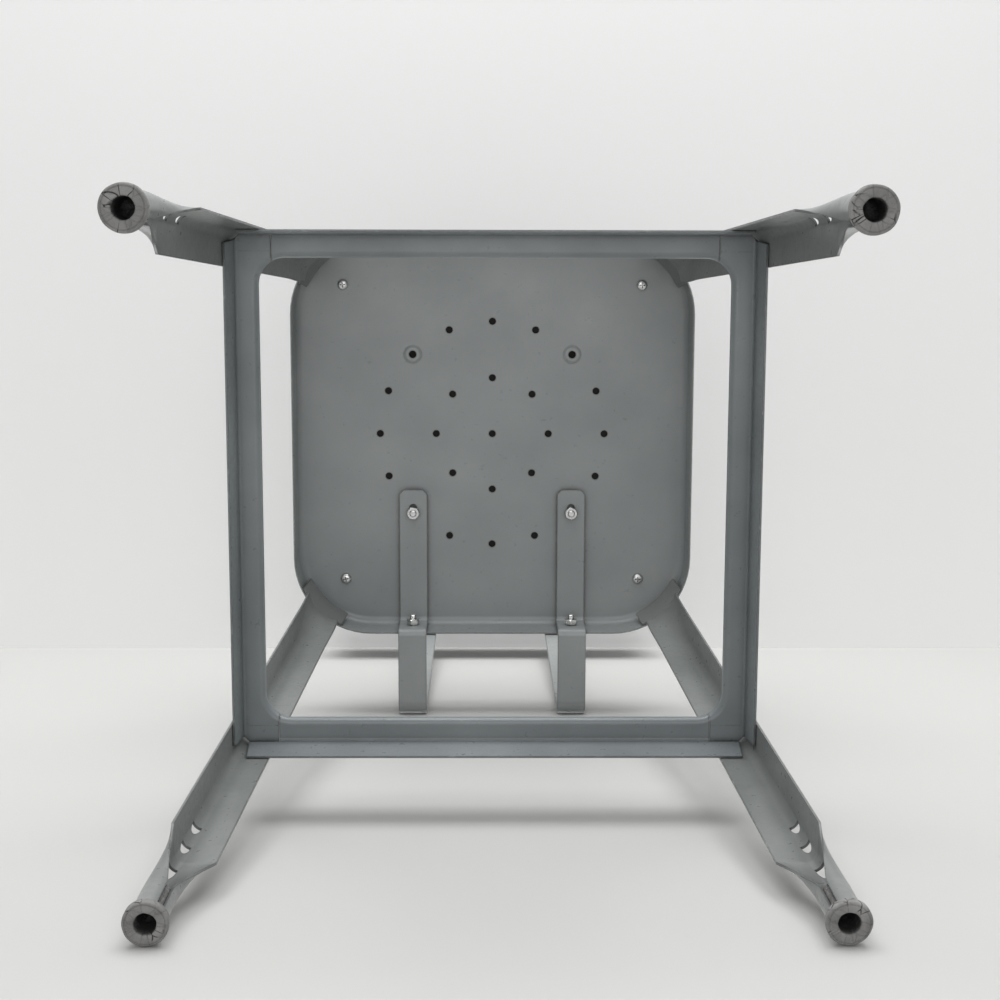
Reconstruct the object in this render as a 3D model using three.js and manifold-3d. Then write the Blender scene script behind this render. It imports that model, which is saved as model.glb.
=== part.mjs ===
// Stacking counter chair in pressed sheet steel: a perforated seat pan on four open trough legs,
// a footrest ring welded inside the legs, and a low back rail carried by two bent flat bars.
// Millimetres, +Z up, the sitter faces -Y. The origin is on the floor, under the middle of the whole chair.

import * as THREE from 'three';
import { mergeVertices } from 'three/addons/utils/BufferGeometryUtils.js';
import Module from 'manifold-3d';

const wasm = await Module();
wasm.setup();

// ---------------------------------------------------------------- driving dimensions

// Seat pan
const SEAT_HEIGHT = 650;          // floor to the underside of the pan sheet
const PAN_WIDTH = 350;            // outside of the turned-down rim, both ways
const PAN_CORNER_RADIUS = 68;     // outside, seen from above
const PAN_SHEET = 1.2;
const PAN_RIM_DEPTH = 35;         // underside of the sheet to the lower edge of the rim
const PAN_FOLD_RADIUS = 8;        // outside, where the top turns into the rim

// Holes in the pan: one in the middle, eight on the pitch circle, sixteen places on twice that circle
const HOLE_PITCH = 50;
const VENT_DIAMETER = 6.2;
const BOSS_BASE_DIAMETER = 17;
const BOSS_FACE_DIAMETER = 11;
const BOSS_HEIGHT = 1.6;

// Legs
const LEG_SHEET = 1.5;
const LEG_CORNER_AT_FLOOR = 194.8;   // outer faces of the trough from the seat axis, carried down to the floor
const LEG_CORNER_AT_SEAT = 159;      // the same at SEAT_HEIGHT
const LEG_BEND_RADIUS = 7;           // middle of the sheet
const LEG_HALF_WIDTH = 23.5;         // flat width of one arm, measured round the bend
const LEG_NECK_RADIUS = 28;          // bend just below the pan
const LEG_NECK_HALF_WIDTH = 19.5;
const LEG_NECK_LENGTH = 95;
const LEG_NOTCH_HALF_WIDTH = 15.5;
const LEG_NOTCH_HEIGHT = 8;
const LEG_TAB_HALF_WIDTH = 24;
const LEG_TAB_LEAN = 5.5;            // how far the tab's top leans in, along the diagonal
const LEG_TUBE_DIAMETER = 20;        // outside, where the arms wrap round the foot
const LEG_TUBE_SEAM = 4.5;
const LEG_TUBE_TOP = 40;
const LEG_WRAP_TOP = 92;
const LEG_WRAP_CORNER = 1.25;        // power of the wrap's curve; higher is sharper where the arms end
const LOUVRE_WIDTH = 7;
const LOUVRE_HEIGHT = 11;
const LOUVRE_LOWEST = 78;
const LOUVRE_SPACING = 29;
const LOUVRE_COUNT = 3;

// Rubber feet
const FOOT_CENTRE = 188;             // from the seat axis, both ways
const FOOT_DIAMETER = 26;
const FOOT_HEIGHT = 8;
const FOOT_BORE_DIAMETER = 12.5;
const FOOT_BORE_DEPTH = 26;
const FOOT_STEM_LENGTH = 34;
const FOOT_RIB_SHARES = [0.25, 0.8];  // places of the two ribs along the stem

// Footrest ring
const RING_SHEET = 1.5;
const RING_TOP = 294;
const RING_WEB_WIDTH = 17;
const RING_FLANGE_DEPTH = 32;
const RING_LIP_HEIGHT = 5;
const RING_BEND_RADIUS = 3.5;        // outside
const RING_INNER_CORNER_RADIUS = 18;
const RING_JOINT_INSET = 26;         // outer face of a side bar to the joint with the front and rear bars

// Back supports and back rail
const BAR_WIDTH = 25;
const BAR_THICKNESS = 4;
const BAR_FRONT_OVERHANG = 20.5;     // forward bolt to the front end of the bar
const BAR_CORNER_CUT = 4;
const BAR_FIRST_BEND = 6;            // middle of the bar, here and below
const BAR_SECOND_BEND = 4.5;
const BAR_THIRD_BEND = 13;
const BAR_RUN_BELOW_RIM = 2;         // top of the rearward run below the rim's lower edge
const BAR_REACH = 74.5;              // rim to the rear face of the upright
const BAR_TOP_BELOW_RAIL_TOP = 9;
const BAR_SLOT_LENGTH = 11;
const BAR_SLOT_SHIFT = 2.3;          // middle of the slot ahead of the bolt
const RAIL_ABOVE_SEAT = 320;         // underside of the pan sheet to the top of the rail
const RAIL_HEIGHT = 62;
const RAIL_SHEET = 1.6;
const RAIL_FLAT_HALF = 92;
const RAIL_WING_RADIUS = 210;
const RAIL_WING_ANGLE = 22 * Math.PI / 180;
const RAIL_BEAD_DIAMETER = 7;
const RAIL_BOSS_DIAMETER = 15;
const RAIL_RIVET_PITCH = 28;

// Upholstery
const BOARD_THICKNESS = 9;
const BOARD_INSET = 6;
const PAD_INSET = 4;
const PAD_THICKNESS = 30;
const PAD_EDGE_RADIUS = 11;

// Fasteners
const BOLT_DIAMETER = 6;
const BOLT_HEAD_DIAMETER = 12;
const BOLT_HEAD_HEIGHT = 2.6;
const BOLT_END_PAST_NUT = 1.5;       // the forward bolts
const RIM_BOLT_END_PAST_NUT = 4;
const NUT_ACROSS_FLATS = 10;
const NUT_HEIGHT = 5;
const RIVET_DIAMETER = 5;
const RIVET_HEAD_DIAMETER = 10;
const RIVET_HEAD_HEIGHT = 2.2;
const SCREW_SQUARE = 264;            // between the pad screws, both ways
const SCREW_DIAMETER = 4.5;
const SCREW_HEAD_DIAMETER = 9;
const SCREW_HEAD_HEIGHT = 2.6;
const SCREW_GRIP = 7;                // length inside the board

// Clearances
const GAP = 0.3;                     // between pieces that touch
const HOLE_PLAY = 0.6;               // on the diameter, round a shank
const HEAD_PLAY = 4;                 // on the diameter, round a bolt head under the pad

// ---------------------------------------------------------------- places worked out from them

const PAN_TOP = SEAT_HEIGHT + PAN_SHEET;
const RIM_BOTTOM = SEAT_HEIGHT - PAN_RIM_DEPTH;
const RIM_FACE = PAN_WIDTH / 2;
const RIM_INSIDE = RIM_FACE - PAN_SHEET;
const BOARD_BOTTOM = PAN_TOP + GAP;
const BOARD_TOP = BOARD_BOTTOM + BOARD_THICKNESS;
const PAD_BOTTOM = BOARD_TOP + GAP;

const BOSS_PLACE = 2 * HOLE_PITCH * Math.SQRT1_2;
const BAR_TOP_FACE = SEAT_HEIGHT - BOSS_HEIGHT - GAP;
const BAR_FLAT_LEVEL = BAR_TOP_FACE - BAR_THICKNESS / 2;
const BAR_DROP_PLACE = RIM_INSIDE - GAP - BAR_THICKNESS / 2;
const BAR_RUN_LEVEL = RIM_BOTTOM - BAR_RUN_BELOW_RIM - BAR_THICKNESS / 2;
const UPRIGHT_REAR = RIM_FACE + BAR_REACH;
const UPRIGHT_MIDDLE = UPRIGHT_REAR - BAR_THICKNESS / 2;
const UPRIGHT_FRONT = UPRIGHT_REAR - BAR_THICKNESS;
const RAIL_TOP = SEAT_HEIGHT + RAIL_ABOVE_SEAT;
const UPRIGHT_TOP = RAIL_TOP - BAR_TOP_BELOW_RAIL_TOP;
const REAR_BOLT_LEVEL = (BAR_FLAT_LEVEL - BAR_FIRST_BEND + BAR_RUN_LEVEL + BAR_SECOND_BEND) / 2;

const RAIL_BOSS_HEIGHT = (RAIL_BEAD_DIAMETER - RAIL_SHEET) / 2;
const RAIL_MIDDLE = UPRIGHT_FRONT - GAP - RAIL_BEAD_DIAMETER / 2;
const RAIL_CENTRE_LEVEL = RAIL_TOP - RAIL_HEIGHT / 2;

const FRONT_REACH = FOOT_CENTRE + FOOT_DIAMETER / 2;
const REAR_REACH = UPRIGHT_REAR + GAP + RIVET_HEAD_HEIGHT;

const LEG_END = FOOT_HEIGHT + GAP;
const LEG_TAB_TOP = SEAT_HEIGHT - PAN_FOLD_RADIUS + PAN_SHEET;
const LEG_SPLAY = (LEG_CORNER_AT_FLOOR - LEG_CORNER_AT_SEAT) / SEAT_HEIGHT;

// ---------------------------------------------------------------- finishes

const paint = new THREE.MeshStandardMaterial({ color: 0x7b8180, roughness: 0.42, metalness: 0.25 });
const zinc = new THREE.MeshStandardMaterial({ color: 0xb9bcbc, roughness: 0.32, metalness: 0.9 });
const rubber = new THREE.MeshStandardMaterial({ color: 0x4b4947, roughness: 0.85, metalness: 0 });
const plywood = new THREE.MeshStandardMaterial({ color: 0x1d1c1b, roughness: 0.8, metalness: 0 });
const vinyl = new THREE.MeshStandardMaterial({ color: 0x161616, roughness: 0.5, metalness: 0 });

// ---------------------------------------------------------------- solids and booleans

function toSolid(geometry) {
  const bare = geometry.clone();
  bare.deleteAttribute('normal');
  bare.deleteAttribute('uv');
  const merged = mergeVertices(bare, 1e-4);
  const vertProperties = new Float32Array(merged.attributes.position.array);
  const triVerts = new Uint32Array(merged.index.array);
  return new wasm.Manifold(new wasm.Mesh({ numProp: 3, vertProperties, triVerts }));
}

function toGeometry(solid) {
  const mesh = solid.getMesh();
  const geometry = new THREE.BufferGeometry();
  geometry.setAttribute('position', new THREE.BufferAttribute(new Float32Array(mesh.vertProperties), 3));
  geometry.setIndex(new THREE.BufferAttribute(new Uint32Array(mesh.triVerts), 1));
  const faceted = geometry.toNonIndexed();
  faceted.computeVertexNormals();
  return faceted;
}

function cutAll(body, tools) {
  return tools.reduce((rest, tool) => rest.subtract(toSolid(tool)), body);
}

// A flat outline, raised from one level to another.
function prism(shape, bottom, top, curveSegments = 8) {
  const geometry = new THREE.ExtrudeGeometry(shape, { depth: top - bottom, bevelEnabled: false, curveSegments });
  return geometry.translate(0, 0, bottom);
}

function block(xMin, xMax, yMin, yMax, zMin, zMax) {
  const geometry = new THREE.BoxGeometry(xMax - xMin, yMax - yMin, zMax - zMin);
  return geometry.translate((xMin + xMax) / 2, (yMin + yMax) / 2, (zMin + zMax) / 2);
}

// An upright round bar between two levels.
function post(radius, x, y, bottom, top, sides = 12) {
  const geometry = new THREE.CylinderGeometry(radius, radius, top - bottom, sides);
  return geometry.rotateX(Math.PI / 2).translate(x, y, (bottom + top) / 2);
}

// A turned solid from [radius, height] pairs that start and end on the axis, the lowest first.
function turned(profile, sides = 12) {
  const points = profile.map(([radius, height]) => new THREE.Vector2(radius, height));
  return new THREE.LatheGeometry(points, sides).rotateX(Math.PI / 2);
}

function roundedSquare(half, radius) {
  const straight = half - radius;
  const shape = new THREE.Shape();
  shape.moveTo(half, -straight);
  shape.absarc(straight, straight, radius, 0, Math.PI / 2);
  shape.absarc(-straight, straight, radius, Math.PI / 2, Math.PI);
  shape.absarc(-straight, -straight, radius, Math.PI, 1.5 * Math.PI);
  shape.absarc(straight, -straight, radius, 1.5 * Math.PI, 2 * Math.PI);
  return shape;
}

// A rounded square slab whose edges are rounded over; roundOver is limited by half the slab.
function softSlab(half, cornerRadius, bottom, top, roundOver, steps = 2) {
  const edge = Math.min(roundOver, (top - bottom) / 2 - 0.01);
  const shape = roundedSquare(half - edge, cornerRadius - edge);
  const geometry = new THREE.ExtrudeGeometry(shape, {
    depth: top - bottom - 2 * edge,
    bevelThickness: edge,
    bevelSize: edge,
    bevelSegments: steps,
    curveSegments: 7,
  });
  return geometry.translate(0, 0, bottom + edge);
}

// ---------------------------------------------------------------- seat pan

function ventPlaces() {
  const places = [[0, 0]];
  for (let i = 0; i < 8; i += 1) {
    const angle = i * Math.PI / 4;
    places.push([HOLE_PITCH * Math.cos(angle), HOLE_PITCH * Math.sin(angle)]);
  }
  for (let i = 0; i < 16; i += 1) {
    const angle = i * Math.PI / 8;
    const onDiagonal = i % 4 === 2;
    if (!onDiagonal) places.push([2 * HOLE_PITCH * Math.cos(angle), 2 * HOLE_PITCH * Math.sin(angle)]);
  }
  return places;
}

function fourCorners(distance) {
  return [[-distance, -distance], [distance, -distance], [-distance, distance], [distance, distance]];
}

// The boss is a shallow cone pressed downwards, hollow on top, so the sheet keeps its thickness.
function bossCone(x, y, faceLevel, baseLevel) {
  const flare = (BOSS_BASE_DIAMETER - BOSS_FACE_DIAMETER) / 2;
  const rise = flare * (baseLevel - faceLevel) / BOSS_HEIGHT;
  const faceRadius = BOSS_FACE_DIAMETER / 2;
  const cone = new THREE.CylinderGeometry(faceRadius + rise, faceRadius, baseLevel - faceLevel, 12);
  return cone.rotateX(Math.PI / 2).translate(x, y, (baseLevel + faceLevel) / 2);
}

function seatPan() {
  const reach = PAN_TOP + PAN_WIDTH;
  const outside = toSolid(softSlab(RIM_FACE, PAN_CORNER_RADIUS, RIM_BOTTOM - 2 * PAN_FOLD_RADIUS,
    PAN_TOP, PAN_FOLD_RADIUS));
  const inside = toSolid(softSlab(RIM_INSIDE, PAN_CORNER_RADIUS - PAN_SHEET,
    RIM_BOTTOM - 4 * PAN_FOLD_RADIUS, SEAT_HEIGHT, PAN_FOLD_RADIUS - PAN_SHEET));
  const aboveRim = toSolid(block(-reach, reach, -reach, reach, RIM_BOTTOM, reach));
  let pan = outside.subtract(inside).intersect(aboveRim);
  for (const [x, y] of fourCorners(BOSS_PLACE)) {
    pan = pan.add(toSolid(bossCone(x, y, SEAT_HEIGHT - BOSS_HEIGHT, SEAT_HEIGHT + PAN_SHEET / 2)));
    pan = pan.subtract(toSolid(bossCone(x, y, PAN_TOP - BOSS_HEIGHT, PAN_TOP + PAN_SHEET)));
  }
  const through = (place, diameter, sides) => post(diameter / 2, place[0], place[1],
    RIM_BOTTOM, PAN_TOP + PAN_SHEET, sides);
  const vents = ventPlaces().map((place) => through(place, VENT_DIAMETER, 8));
  const bossHoles = fourCorners(BOSS_PLACE).map((place) => through(place, BOLT_DIAMETER + HOLE_PLAY, 12));
  const screwHoles = fourCorners(SCREW_SQUARE / 2).map((place) => through(place, SCREW_DIAMETER + HOLE_PLAY, 10));
  const rimHoles = [-BOSS_PLACE, BOSS_PLACE].map((x) => rearwardPost(BOLT_DIAMETER + HOLE_PLAY, x,
    RIM_INSIDE - PAN_SHEET, RIM_FACE + PAN_SHEET));
  return toGeometry(cutAll(pan, [...vents, ...bossHoles, ...screwHoles, ...rimHoles]));
}

// A round bar along Y at the level of the rear bolts.
function rearwardPost(diameter, x, yMin, yMax) {
  const geometry = new THREE.CylinderGeometry(diameter / 2, diameter / 2, yMax - yMin, 12);
  return geometry.translate(x, (yMin + yMax) / 2, REAR_BOLT_LEVEL);
}

// ---------------------------------------------------------------- legs

const LEG_BEND_FACETS = 4;
const LEG_ARM_FACETS = 4;            // on each side of the bend
const LEG_BEND_SHARE_MOST = 0.7;     // of the sheet's width, where the bend takes up all of it

function mix(a, b, share) {
  return a + (b - a) * share;
}

function smooth(low, high, value) {
  const t = Math.min(1, Math.max(0, (value - low) / (high - low)));
  return t * t * (3 - 2 * t);
}

// The bend's crown sits on the diagonal; returns its distance from the axis along X, sheet middle.
function crownOf(corner, radius) {
  return corner - LEG_SHEET / 2 - radius * (1 - Math.SQRT1_2);
}

// The trough at one level, for the leg on the +X +Y corner.
function troughAt(level) {
  const corner = LEG_CORNER_AT_FLOOR - LEG_SPLAY * level;
  const open = { crown: crownOf(corner, LEG_BEND_RADIUS), radius: LEG_BEND_RADIUS, half: LEG_HALF_WIDTH };
  const seatedRadius = PAN_CORNER_RADIUS - PAN_SHEET - GAP - LEG_SHEET / 2;
  const tabShare = Math.max(0, (level - RIM_BOTTOM) / (LEG_TAB_TOP - RIM_BOTTOM));
  const tabLean = LEG_TAB_LEAN * Math.SQRT1_2 * tabShare;
  const seatedCrown = RIM_FACE - PAN_CORNER_RADIUS + seatedRadius * Math.SQRT1_2 - tabLean;
  const neck = smooth(RIM_BOTTOM - LEG_NECK_LENGTH, RIM_BOTTOM - LEG_NOTCH_HEIGHT, level);
  const seated = smooth(RIM_BOTTOM - LEG_NOTCH_HEIGHT, RIM_BOTTOM - GAP, level);
  const necked = {
    crown: mix(open.crown, seatedCrown, neck),
    radius: mix(open.radius, LEG_NECK_RADIUS, neck),
    half: mix(open.half, LEG_NECK_HALF_WIDTH, neck),
  };
  return { ...necked, radius: mix(necked.radius, seatedRadius, seated) };
}

// Point and outward normal on the trough's middle line, where along runs from -half to half.
function troughPoint(trough, along) {
  const { crown, radius } = trough;
  const centre = crown - radius * Math.SQRT1_2;
  const side = Math.sign(along);
  const bent = Math.min(Math.abs(along), radius * Math.PI / 4);
  const angle = Math.PI / 4 + side * bent / radius;
  const straight = Math.abs(along) - bent;
  const normal = new THREE.Vector2(Math.cos(angle), Math.sin(angle));
  const point = new THREE.Vector2(centre + radius * normal.x, centre + radius * normal.y);
  point.x -= side > 0 ? straight : 0;
  point.y -= side < 0 ? straight : 0;
  return { point, normal };
}

function tubePoint(share) {
  const radius = (LEG_TUBE_DIAMETER - LEG_SHEET) / 2;
  const open = LEG_TUBE_SEAM / (2 * radius);
  const angle = Math.PI / 4 + share * (Math.PI - open);
  const normal = new THREE.Vector2(Math.cos(angle), Math.sin(angle));
  const point = new THREE.Vector2(FOOT_CENTRE + radius * normal.x, FOOT_CENTRE + radius * normal.y);
  return { point, normal };
}

// 1 where the sheet is a tube, 0 where its arms are flat.
function wrapAt(level) {
  const share = Math.min(1, Math.max(0, (level - LEG_TUBE_TOP) / (LEG_WRAP_TOP - LEG_TUBE_TOP)));
  return 1 - share ** LEG_WRAP_CORNER;
}

// Places across the sheet from -1 to 1: one at each end of the bend, and evenly spaced where it is a tube.
function sharesAcross(trough, half, wrap) {
  const open = Math.min(LEG_BEND_SHARE_MOST, trough.radius * Math.PI / 4 / half);
  const bend = mix(open, LEG_BEND_FACETS / (LEG_BEND_FACETS + 2 * LEG_ARM_FACETS), wrap);
  const arm = Array.from({ length: LEG_ARM_FACETS }, (_, i) => mix(1, bend, i / LEG_ARM_FACETS));
  const middle = Array.from({ length: LEG_BEND_FACETS + 1 }, (_, i) => mix(-bend, bend, i / LEG_BEND_FACETS));
  return [...arm.map((share) => -share), ...middle, ...arm.reverse()];
}

// The sheet at one level: outer points, then inner points, both from one edge of the trough to the other.
function legSection(level, halfWidth) {
  const trough = troughAt(level);
  const half = halfWidth ?? trough.half;
  const wrap = wrapAt(level);
  const outer = [];
  const inner = [];
  for (const share of sharesAcross(trough, half, wrap)) {
    const flat = troughPoint(trough, share * half);
    const round = tubePoint(share);
    const point = flat.point.clone().lerp(round.point, wrap);
    const normal = flat.normal.clone().lerp(round.normal, wrap).normalize();
    const offset = normal.multiplyScalar(LEG_SHEET / 2);
    outer.push(new THREE.Vector3(point.x + offset.x, point.y + offset.y, level));
    inner.push(new THREE.Vector3(point.x - offset.x, point.y - offset.y, level));
  }
  return [...outer, ...inner.reverse()];
}

// A closed solid through sections with equal point counts, the lowest first.
function loft(sections) {
  const count = sections[0].length;
  const last = sections.length - 1;
  const vertices = sections.flat();
  const indices = [];
  for (let s = 0; s < last; s += 1) {
    for (let i = 0; i < count; i += 1) {
      const next = (i + 1) % count;
      const [a, b] = [s * count + i, s * count + next];
      indices.push(a, b, b + count, a, b + count, a + count);
    }
  }
  for (let i = 0; i < count / 2 - 1; i += 1) {
    const [a, b, c, d] = [i, i + 1, count - 2 - i, count - 1 - i];
    indices.push(a, c, b, a, d, c);
    const top = last * count;
    indices.push(top + a, top + b, top + c, top + a, top + c, top + d);
  }
  const geometry = new THREE.BufferGeometry().setFromPoints(vertices);
  geometry.setIndex(indices);
  return geometry;
}

// Levels for the loft, each with its own half width where a notch or the tab sets one.
function legStations() {
  const wrap = [0, 0.2, 0.4, 0.6, 0.8, 1].map((share) => mix(LEG_TUBE_TOP, LEG_WRAP_TOP, share));
  const neckBottom = RIM_BOTTOM - LEG_NECK_LENGTH;
  const notchBottom = RIM_BOTTOM - LEG_NOTCH_HEIGHT;
  const plain = [LEG_END, ...wrap, (LEG_WRAP_TOP + RING_TOP) / 2, RING_TOP - RING_FLANGE_DEPTH, RING_TOP,
    (RING_TOP + neckBottom) / 2, neckBottom, mix(neckBottom, notchBottom, 0.3),
    mix(neckBottom, notchBottom, 0.55), mix(neckBottom, notchBottom, 0.8), notchBottom];
  const stations = plain.map((level) => [level, undefined]);
  stations.push([notchBottom + 1.5, LEG_NOTCH_HALF_WIDTH]);
  stations.push([RIM_BOTTOM - GAP, LEG_NOTCH_HALF_WIDTH]);
  stations.push([RIM_BOTTOM + 1.5, LEG_TAB_HALF_WIDTH]);
  stations.push([LEG_TAB_TOP - 5, LEG_TAB_HALF_WIDTH]);
  stations.push([LEG_TAB_TOP, LEG_TAB_HALF_WIDTH - 4]);
  return stations;
}

function louvreCut(level) {
  const halfMoon = new THREE.Shape();
  halfMoon.absellipse(0, 0, LOUVRE_WIDTH / 2, LOUVRE_HEIGHT, Math.PI, 2 * Math.PI);
  const tool = new THREE.ExtrudeGeometry(halfMoon, { depth: 16, bevelEnabled: false, curveSegments: 6 });
  tool.translate(0, LOUVRE_HEIGHT / 2, -8).rotateX(Math.PI / 2).rotateZ(-Math.PI / 4);
  const crown = troughAt(level).crown;
  return tool.translate(crown, crown, level);
}

function leg(quarterTurns) {
  const sections = legStations().map(([level, half]) => legSection(level, half));
  const levels = Array.from({ length: LOUVRE_COUNT }, (_, i) => LOUVRE_LOWEST + i * LOUVRE_SPACING);
  const solid = cutAll(toSolid(loft(sections)), levels.map(louvreCut));
  return toGeometry(solid).rotateZ(quarterTurns * Math.PI / 2);
}

// ---------------------------------------------------------------- feet

function foot() {
  const radius = FOOT_DIAMETER / 2;
  const bore = FOOT_BORE_DIAMETER / 2;
  const rib = LEG_TUBE_DIAMETER / 2 - LEG_SHEET - GAP;
  const stem = rib - 0.5;
  const ribs = FOOT_RIB_SHARES.flatMap((share) => {
    const level = FOOT_HEIGHT + share * FOOT_STEM_LENGTH;
    return [[stem, level - 1], [rib, level], [stem, level + 1]];
  });
  return turned([
    [0, FOOT_BORE_DEPTH], [bore, FOOT_BORE_DEPTH], [bore, 0], [radius - 1.2, 0], [radius, 1.2],
    [radius, FOOT_HEIGHT - 3], [radius - 1.8, FOOT_HEIGHT], [stem, FOOT_HEIGHT],
    ...ribs,
    [stem - 0.8, FOOT_HEIGHT + FOOT_STEM_LENGTH], [0, FOOT_HEIGHT + FOOT_STEM_LENGTH],
  ], 16);
}

// ---------------------------------------------------------------- footrest ring

const RING_FACE = LEG_CORNER_AT_FLOOR - LEG_SPLAY * RING_TOP - LEG_SHEET - GAP;
const RING_OPENING = RING_FACE - RING_WEB_WIDTH;
const RING_JOINT = RING_FACE - RING_JOINT_INSET;

// The bar's section as [distance from the axis, level]: a flat web and a flange that follows the legs' splay.
function ringSection() {
  const lean = LEG_SPLAY * RING_FLANGE_DEPTH;
  const bottom = RING_TOP - RING_FLANGE_DEPTH;
  const bendInner = RING_BEND_RADIUS - RING_SHEET;
  const bendCentre = new THREE.Vector2(RING_FACE - RING_BEND_RADIUS, RING_TOP - RING_BEND_RADIUS);
  const innerEdge = RING_JOINT - RING_JOINT_INSET;
  const shape = new THREE.Shape();
  shape.moveTo(innerEdge, RING_TOP - RING_SHEET);
  shape.lineTo(bendCentre.x, RING_TOP - RING_SHEET);
  shape.absarc(bendCentre.x, bendCentre.y, bendInner, Math.PI / 2, 0, true);
  shape.lineTo(RING_FACE + lean - RING_SHEET, bottom);
  shape.lineTo(RING_FACE + lean, bottom);
  shape.lineTo(RING_FACE, bendCentre.y);
  shape.absarc(bendCentre.x, bendCentre.y, RING_BEND_RADIUS, 0, Math.PI / 2, false);
  shape.lineTo(innerEdge, RING_TOP);
  return shape;
}

// The section run along Y on the +X side, from -halfLength to halfLength.
function ringBlank(halfLength) {
  const run = new THREE.ExtrudeGeometry(ringSection(), { depth: 2 * halfLength, bevelEnabled: false, curveSegments: 3 });
  return toSolid(run.rotateX(Math.PI / 2).translate(0, halfLength, 0));
}

// Cuts the outer corners off, so that the ring nests in the legs' round bends.
function ringCorners() {
  const bendStart = RING_FACE + GAP - (LEG_BEND_RADIUS - LEG_SHEET / 2);
  const reach = RING_FACE + RING_FLANGE_DEPTH;
  const short = RING_FACE + bendStart - reach;
  const shape = new THREE.Shape();
  const corners = [[reach, -short], [reach, short], [short, reach], [-short, reach],
    [-reach, short], [-reach, -short], [-short, -reach], [short, -reach]];
  shape.setFromPoints(corners.map(([x, y]) => new THREE.Vector2(x, y)));
  return toSolid(prism(shape, RING_TOP - 2 * RING_FLANGE_DEPTH, RING_TOP + 2 * RING_LIP_HEIGHT));
}

// The lip that stands up round the opening.
function ringLip() {
  const bottom = RING_TOP - RING_SHEET;
  const outer = roundedSquare(RING_OPENING + RING_SHEET, RING_INNER_CORNER_RADIUS + RING_SHEET);
  const inner = roundedSquare(RING_OPENING, RING_INNER_CORNER_RADIUS);
  const band = toSolid(prism(outer, bottom, bottom + RING_SHEET + RING_LIP_HEIGHT, 5));
  return band.subtract(toSolid(prism(inner, bottom - 1, RING_TOP + 2 * RING_LIP_HEIGHT, 5)));
}

function ringOpening() {
  const shape = roundedSquare(RING_OPENING, RING_INNER_CORNER_RADIUS);
  return toSolid(prism(shape, RING_TOP - RING_SHEET - 1, RING_TOP + 1, 5));
}

function ringSideBar() {
  const reach = RING_FACE + RING_FLANGE_DEPTH;
  const domain = toSolid(block(RING_JOINT + GAP / 2, reach, -RING_FACE, RING_FACE, 0, SEAT_HEIGHT));
  const web = ringBlank(RING_FACE).subtract(ringOpening());
  return web.add(ringLip()).intersect(domain).intersect(ringCorners());
}

function ringEndBar() {
  const reach = RING_FACE + RING_FLANGE_DEPTH;
  const joint = RING_JOINT - GAP / 2;
  const flangeHalf = RING_FACE - RING_SHEET - GAP;
  const flangeTop = RING_TOP - RING_BEND_RADIUS;
  const middle = toSolid(block(0, reach, -joint, joint, 0, SEAT_HEIGHT));
  const flange = toSolid(block(0, reach, -flangeHalf, flangeHalf, 0, flangeTop));
  const web = ringBlank(RING_FACE).subtract(ringOpening());
  return web.add(ringLip()).intersect(middle.add(flange)).intersect(ringCorners());
}

// ---------------------------------------------------------------- back supports

// A corner in the bar's route, rounded into an arc of short chords.
function roundedCorner(before, corner, after, radius, steps) {
  const into = before.clone().sub(corner).normalize();
  const out = after.clone().sub(corner).normalize();
  const half = into.angleTo(out) / 2;
  const setBack = radius / Math.tan(half);
  const start = corner.clone().addScaledVector(into, setBack);
  const end = corner.clone().addScaledVector(out, setBack);
  const centre = corner.clone().addScaledVector(into.clone().add(out).normalize(), radius / Math.sin(half));
  const points = [];
  for (let i = 0; i <= steps; i += 1) {
    const chord = start.clone().lerp(end, i / steps);
    points.push(centre.clone().add(chord.sub(centre).normalize().multiplyScalar(radius)));
  }
  return points;
}

// The middle line of the bar in the YZ plane: under the pan, down the rim, rearwards, and up.
function barRoute() {
  const front = new THREE.Vector2(BOSS_PLACE - BAR_FRONT_OVERHANG, BAR_FLAT_LEVEL);
  const first = new THREE.Vector2(BAR_DROP_PLACE, BAR_FLAT_LEVEL);
  const second = new THREE.Vector2(BAR_DROP_PLACE, BAR_RUN_LEVEL);
  const third = new THREE.Vector2(UPRIGHT_MIDDLE, BAR_RUN_LEVEL);
  const top = new THREE.Vector2(UPRIGHT_MIDDLE, UPRIGHT_TOP);
  return [
    front,
    ...roundedCorner(front, first, second, BAR_FIRST_BEND, 4),
    ...roundedCorner(first, second, third, BAR_SECOND_BEND, 4),
    ...roundedCorner(second, third, top, BAR_THIRD_BEND, 6),
    top,
  ];
}

// The outline of a strip with the given thickness along a route.
function strip(route, thickness) {
  const sides = [[], []];
  route.forEach((point, i) => {
    const before = route[Math.max(0, i - 1)];
    const after = route[Math.min(route.length - 1, i + 1)];
    const along = after.clone().sub(before).normalize();
    const normal = new THREE.Vector2(-along.y, along.x).multiplyScalar(thickness / 2);
    sides[0].push(point.clone().add(normal));
    sides[1].push(point.clone().sub(normal));
  });
  return new THREE.Shape([...sides[1], ...sides[0].reverse()]);
}

// Seen from above, both ends of the bar have their corners cut off.
function barPlan() {
  const half = BAR_WIDTH / 2;
  const front = BOSS_PLACE - BAR_FRONT_OVERHANG;
  const shape = new THREE.Shape();
  shape.moveTo(-half + BAR_CORNER_CUT, front);
  shape.lineTo(half - BAR_CORNER_CUT, front);
  shape.lineTo(half, front + BAR_CORNER_CUT);
  shape.lineTo(half, UPRIGHT_REAR + 1);
  shape.lineTo(-half, UPRIGHT_REAR + 1);
  shape.lineTo(-half, front + BAR_CORNER_CUT);
  return toSolid(prism(shape, 0, RAIL_TOP));
}

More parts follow.
